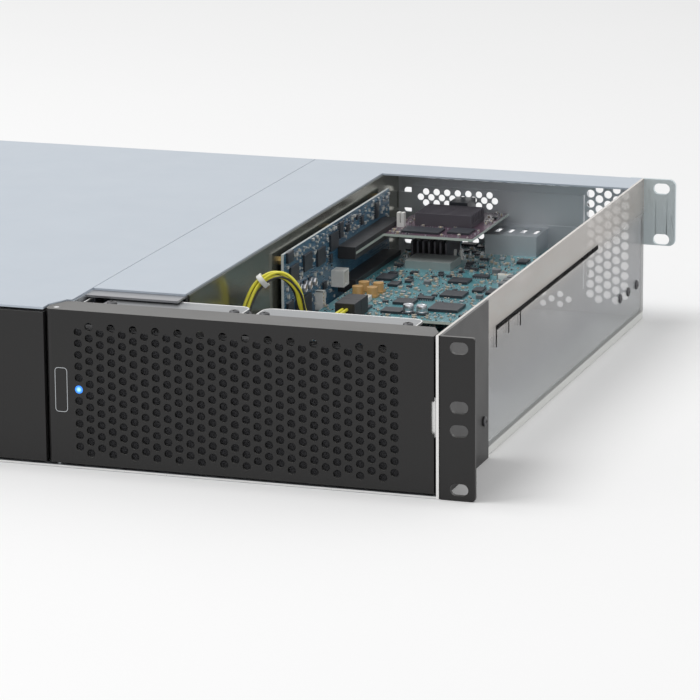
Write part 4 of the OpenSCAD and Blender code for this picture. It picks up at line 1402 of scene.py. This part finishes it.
@dataclass
class FrontShell(Assembly):
    """Blank panel, rack ears and the sheet that stands behind the front."""

    corner: float = 6.0
    rim: float = 0.45
    rim_length: float = 16.0
    lip: float = 0.5
    lip_height: float = 1.1

    def build(self) -> None:
        """Dress the front sheet metal."""
        self.dress("charcoal_paint", "blank_panel", "front_ear_left", "front_ear_right", bevel=0.25)
        self.dress("zinc_upright", "front_post_left", "front_post_right", "device_bay_wall")
        self.dress("bracket_steel", "fan_bracket_left", "fan_bracket_right", bevel=0.25)
        self._bracket_rims()
        self._floor_lip()

    def _bracket_rims(self) -> None:
        """Add a rolled rim along the rear edge and corners of each bracket's top, in bright steel
        that is a painted highlight on that edge.
        """
        draft = Draft()
        steps = 8
        for name in ("fan_bracket_left", "fan_bracket_right"):
            low, high = node_box(name)
            r = self.corner - self.rim
            x0, x1, y1 = low.x + self.rim, high.x - self.rim, high.y - self.rim
            z = high.z - self.rim / 2
            route = [Vector((x0, y1 - self.rim_length, z))]
            for cx, start in ((x0 + r, 180), (x1 - r, 90)):
                for k in range(steps + 1):
                    a = math.radians(start - 90 * k / steps)
                    route.append(Vector((cx + r * math.cos(a), y1 - r + r * math.sin(a), z)))
            route.append(Vector((x1, y1 - self.rim_length, z)))
            draft.tube(route, self.rim, sides=10)
        # painted highlight: the rims take the bright raw-edge finish, much paler than the bracket
        # steel
        draft.finish_as("bracket_rims", [self.palette["raw_edge"]], self.body, "bright_steel")

    def _floor_lip(self) -> None:
        """Add the bright cut edge along the front of the base."""
        low, high = node_box("base_pan")
        draft = Draft()
        foot = shift((low.x + high.x) / 2, low.y + self.lip / 2 - 0.02, low.z + 0.05)
        draft.block((high.x - low.x, self.lip, self.lip_height), foot, bevel=0.05)
        draft.finish_as("floor_lip", [self.palette["raw_edge"]], self.body, "plated_steel")


@dataclass
class Shell(Assembly):
    """Base, sides, rear and covers."""

    def build(self) -> None:
        """Dress the outer sheet metal."""
        self.dress("zinc_sheet", "base_pan")
        self.dress("zinc_upright", "left_side_panel", "rear_panel", "slot_cover")
        self.dress("support_steel", "cover_support")
        self.dress("pale_paint", "left_top_cover", "bay_top_plate", bevel=0.12)
        self.dress("clear_wall", "right_side_panel")
        # painted shade: the divider's dark finish stands in for the shade on its face
        self.dress("divider_paint", "centre_divider")
        self.dress("ear_steel", "rear_ear_left", "rear_ear_right", bevel=0.25)
        self.dress("rail_plastic", "card_rail", bevel=0.2)


@dataclass
class Fans(Assembly):
    """The two front fans: frames, rotors and blank hub labels."""

    label_radius: float = 15.0
    label_t: float = 0.1
    label_sunk: float = 0.05
    axle_z: float = 43.0

    def build(self) -> None:
        """Dress the fans and put a plain label on each hub."""
        self.dress("fan_plastic", "fan_frame_left", "fan_frame_right", bevel=0.3)
        self.dress("fan_plastic", "fan_rotor_left", "fan_rotor_right")
        r, under, top = self.label_radius, -self.label_sunk, self.label_t
        blank = [self.palette["blank_label"]]
        for side in ("left", "right"):
            low, high = node_box(f"fan_rotor_{side}")
            middle = (low + high) / 2
            draft = Draft()
            turned = shift(middle.x, low.y, self.axle_z) @ Matrix.Rotation(math.pi / 2, 4, "X")
            draft.lathe([(0, under), (r, under), (r, top), (0, top)], turned, sides=48)
            draft.finish_as(f"fan_{side}_label", blank, f"fan_{side}", "white_plastic")


@dataclass
class Supply(Assembly):
    """The power supply with its fan, guard and mains inlet."""

    def build(self) -> None:
        """Dress the supply."""
        self.dress("zinc_upright", "psu_case", bevel=0.3)
        self.dress("screw_steel", "psu_fan_guard")
        self.dress("black_plastic", "psu_inlet", bevel=0.2)
        self.dress("fan_plastic", "psu_fan_frame", "psu_fan_rotor")


@dataclass
class PowerLead(Assembly):
    """The sleeved harness and the yellow and dark wires that arch to the card."""

    sleeve: tuple[Triple, ...] = (
        (33.6, 277.8, 34.0), (33.6, 249.8, 34.0), (33.6, 200.0, 30.0), (33.6, 150.0, 30.0),
        (36.0, 122.0, 33.0), (48.0, 110.0, 35.0), (60.0, 108.0, 36.0), (67.0, 108.0, 36.0),
    )
    lead: tuple[Triple, ...] = (
        (66.8, 108.0, 36.0), (70.5, 109.5, 41.0), (70.0, 115.0, 50.0), (69.0, 125.0, 61.0),
        (73.0, 132.0, 74.0), (81.0, 135.0, 81.0), (89.0, 136.0, 81.0), (96.0, 137.5, 73.0),
        (98.5, 142.0, 58.0), (100.0, 164.0, 47.0), (101.0, 205.1, 45.8),
    )
    yellow_places: tuple[Triple, ...] = ((-1.3, 0.0, 1.3), (1.3, 0.0, 1.3), (0.0, 0.0, -1.2))
    dark_places: tuple[Triple, ...] = ((-2.0, 0.4, -1.0), (2.0, -0.4, -1.2))
    sleeve_radius: float = 4.0
    wire_radius: float = 0.9
    dark_radius: float = 0.65

    def build(self) -> None:
        """Replace the plain CAD tubes with round wires and a woven sleeve."""
        woven = [self.palette["braided_sleeve"]]
        draft = Draft()
        draft.tube(smooth_route(self.sleeve), self.sleeve_radius, sides=20)
        sleeve = draft.finish_as("harness_sleeve", woven, self.body, "black_sleeve")
        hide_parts("power_harness")
        yellow = [self.palette["wire_yellow"]]
        draft = self._bundle(self.yellow_places, self.wire_radius, sides=12)
        wires = draft.finish_as("lead_yellow_wires", yellow, self.body, "yellow_wire")
        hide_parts("power_leads")
        dark = [self.palette["wire_dark"]]
        draft = self._bundle(self.dark_places, self.dark_radius, sides=10)
        draft.finish_as("lead_dark_wires", dark, self.body, "black_sleeve")
        self.dress("white_nylon", "lead_tie", bevel=0.1)
        self.dress("black_plastic", "power_plug", bevel=0.25)

    def _bundle(self, places: Sequence[Triple], radius: float, sides: int) -> Draft:
        """Draw wires side by side along the lead's route.

        Args:
            places: Each wire's offset from the route.
            radius: Radius of a wire.
            sides: Steps round it.

        Returns:
            The draft with the wires.
        """
        draft = Draft()
        route = smooth_route(self.lead)
        for place in places:
            draft.tube([point + Vector(place) for point in route], radius, sides)
        return draft


@dataclass
class Fasteners(Assembly):
    """Cross-recessed screws in the places of the CAD heads."""

    head_radius: float = 2.8
    head_height: float = 1.5
    sides: int = 28
    sharp: float = 30.0

    def build(self) -> None:
        """Replace every CAD screw head with a domed, cross-recessed one."""
        head = self._head()
        draft = Draft()
        for centre, outward in self._places():
            turn = Vector((0, 0, 1)).rotation_difference(outward).to_matrix().to_4x4()
            draft.add(head, Matrix.Translation(centre - outward * self.head_height / 2) @ turn)
        dark = [self.palette["screw_dark"]]
        piece = draft.finish_as("screw_heads", dark, self.body, "bright_steel", self.sharp)
        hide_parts("screws")

    def _places(self) -> list[tuple[Vector, Vector]]:
        """Find the CAD screw heads, which are the separate islands of one node.

        Returns:
            The centre and outward direction of each head.
        """
        mesh = bmesh.new()
        mesh.from_mesh(self.frame["nodes"]["screws"].data)
        bmesh.ops.remove_doubles(mesh, verts=mesh.verts, dist=1e-6)
        waiting = set(mesh.verts)
        places = []
        while waiting:
            reach = [waiting.pop()]
            island = []
            while reach:
                vert = reach.pop()
                island.append(vert.co.copy())
                for edge in vert.link_edges:
                    other = edge.other_vert(vert)
                    if other in waiting:
                        waiting.remove(other)
                        reach.append(other)
            low = Vector([min(co[i] for co in island) for i in range(3)])
            high = Vector([max(co[i] for co in island) for i in range(3)])
            size, centre = high - low, (low + high) / 2
            thin = min(range(3), key=lambda i: size[i])
            outward = Vector((0, 0, 0))
            outward[thin] = -1.0 if thin == 0 and centre.x < 0 else 1.0
            places.append((centre / MM - Vector((0, FRONT_Y, 0)), outward))
        mesh.free()
        places.sort(key=lambda place: tuple(round(c, 3) for c in place[0]))
        return places

    def _head(self) -> Form:
        """Turn one head and cut the cross into its dome.

        Returns:
            The head's points and faces.
        """
        r, h = self.head_radius, self.head_height
        dome = [
            (0, 0), (r * 0.97, 0), (r, 0.15), (r, h * 0.5), (r * 0.86, h * 0.82),
            (r * 0.55, h * 0.97), (0, h),
        ]
        arm, half, floor = r * 0.575, r * 0.12, h * 0.42
        quarter = ((half, -half), (arm, -half), (arm, half))
        turns = ((1, 0), (0, 1), (-1, 0), (0, -1))
        cross = [(x * c - y * t, x * t + y * c) for c, t in turns for x, y in quarter]
        turned, cutter = Draft(), Draft()
        turned.lathe(dome, Matrix.Identity(4), self.sides)
        cutter.plate(cross, h, shift(0, 0, floor))
        body = add_object("head", turned.mesh("head", turned.points))
        tool = add_object("cross", cutter.mesh("cross", cutter.points))
        cut = body.modifiers.new("cross", "BOOLEAN")
        cut.operation = "DIFFERENCE"
        cut.solver = "EXACT"
        cut.object = tool
        graph = bpy.context.evaluated_depsgraph_get()
        result = bpy.data.meshes.new_from_object(body.evaluated_get(graph))
        points = [vert.co.copy() for vert in result.vertices]
        faces = [tuple(face.vertices) for face in result.polygons]
        for made in (body, tool):
            bpy.data.objects.remove(made)
        return points, faces


# Studio


@dataclass
class Studio:
    """Camera, floor, world and lamps, in metres."""

    place: Triple = (0.83125, -1.95875 - 0.2188, 0.59020)
    yaw: float = 0.324201
    pitch: float = 0.243384
    roll: float = -0.0067974
    focal_pixels: float = 4072.19
    frame_pixels: float = 700.0
    sensor: float = 36.0
    farthest: float = 50.0
    floor_half: float = 12.0
    floor_drop: float = 0.0002
    ambient: float = 0.62
    backdrop: float = 1.0
    lamps: tuple[tuple[str, Triple, float, float], ...] = (
        ("key_lamp", (-1.2, -0.4, 2.8), 1.8, 44.0),
        ("front_lamp", (1.6, -2.4, 1.2), 1.4, 7.0),
    )
    lamp_aim: Triple = (0, 0, 0.04)

    def build(self) -> None:
        """Set up everything round the object."""
        self._camera()
        self._floor()
        self._world()
        self._lamps()
        bpy.context.scene.view_settings.view_transform = "Standard"

    def _camera(self) -> None:
        """Stand the camera where the photograph was taken."""
        cos, sin = math.cos, math.sin
        level = cos(self.pitch)
        ahead = Vector((-sin(self.yaw) * level, cos(self.yaw) * level, -sin(self.pitch)))
        right = Vector((cos(self.yaw), sin(self.yaw), 0))
        up = right.cross(ahead)
        across = right * cos(self.roll) + up * sin(self.roll)
        upright = up * cos(self.roll) - right * sin(self.roll)
        data = bpy.data.cameras.new("camera")
        data.sensor_width = self.sensor
        data.sensor_fit = "HORIZONTAL"
        data.lens = self.focal_pixels / self.frame_pixels * data.sensor_width
        data.clip_end = self.farthest
        camera = add_object("camera", data)
        rows = [(across[i], upright[i], -ahead[i], self.place[i]) for i in range(3)]
        camera.matrix_world = Matrix(rows + [(0, 0, 0, 1)])
        bpy.context.scene.camera = camera

    def _floor(self) -> None:
        """Lay a plain pale floor."""
        data = bpy.data.meshes.new("floor")
        half = self.floor_half
        corners = [(-half, -half, 0), (half, -half, 0), (half, half, 0), (-half, half, 0)]
        data.from_pydata(corners, [], [(0, 1, 2, 3)])
        floor = add_object("floor", data)
        floor.location.z = -self.floor_drop
        sheet = Sheet("studio_floor")
        colour = sheet.blend(sheet.noise(3.0, detail=2.0), (0.93, 0.93, 0.93), (0.95, 0.95, 0.95))
        sheet.give(Base_Color=colour, Roughness=0.9, Specular_IOR_Level=0.0)
        data.materials.append(sheet.material)

    def _world(self) -> None:
        """Light the object from all round, with white behind it."""
        world = bpy.data.worlds.new("studio")
        bpy.context.scene.world = world
        world.use_nodes = True
        tree = world.node_tree
        back = tree.nodes["Background"]
        back.inputs["Color"].default_value = (1, 1, 1, 1)
        path = tree.nodes.new("ShaderNodeLightPath")
        seen = path.outputs["Is Camera Ray"]
        for ray in ("Is Transmission Ray", "Is Glossy Ray"):
            either = tree.nodes.new("ShaderNodeMath")
            either.operation = "MAXIMUM"
            tree.links.new(seen, either.inputs[0])
            tree.links.new(path.outputs[ray], either.inputs[1])
            seen = either.outputs[0]
        level = tree.nodes.new("ShaderNodeMapRange")
        level.inputs["To Min"].default_value = self.ambient
        level.inputs["To Max"].default_value = self.backdrop
        tree.links.new(seen, level.inputs["Value"])
        tree.links.new(level.outputs["Result"], back.inputs["Strength"])

    def _lamps(self) -> None:
        """Hang a large key lamp at the upper left and a soft one ahead."""
        for name, place, size, power in self.lamps:
            data = bpy.data.lights.new(name, "AREA")
            data.shape = "DISK"
            data.size = size
            data.energy = power
            lamp = add_object(name, data)
            lamp.location = place
            aim = Vector(self.lamp_aim) - Vector(place)
            lamp.rotation_euler = aim.to_track_quat("-Z", "Y").to_euler()


def main() -> None:
    """Build the studio and every sub-assembly, in order."""
    logging.basicConfig(level=logging.INFO, format="%(name)s: %(message)s")
    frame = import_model()
    Studio().build()
    palette = {finish.name: finish.make() for finish in FINISHES}
    for kind in (
        Shell, FrontShell, FrontDoor, Fans, Riser, LongCard, ShortCard, Supply, PowerLead,
        Fasteners,
    ):
        kind(frame, palette).build()
        LOG.info("built %s", kind.__name__)


if __name__ == "__main__":
    main()
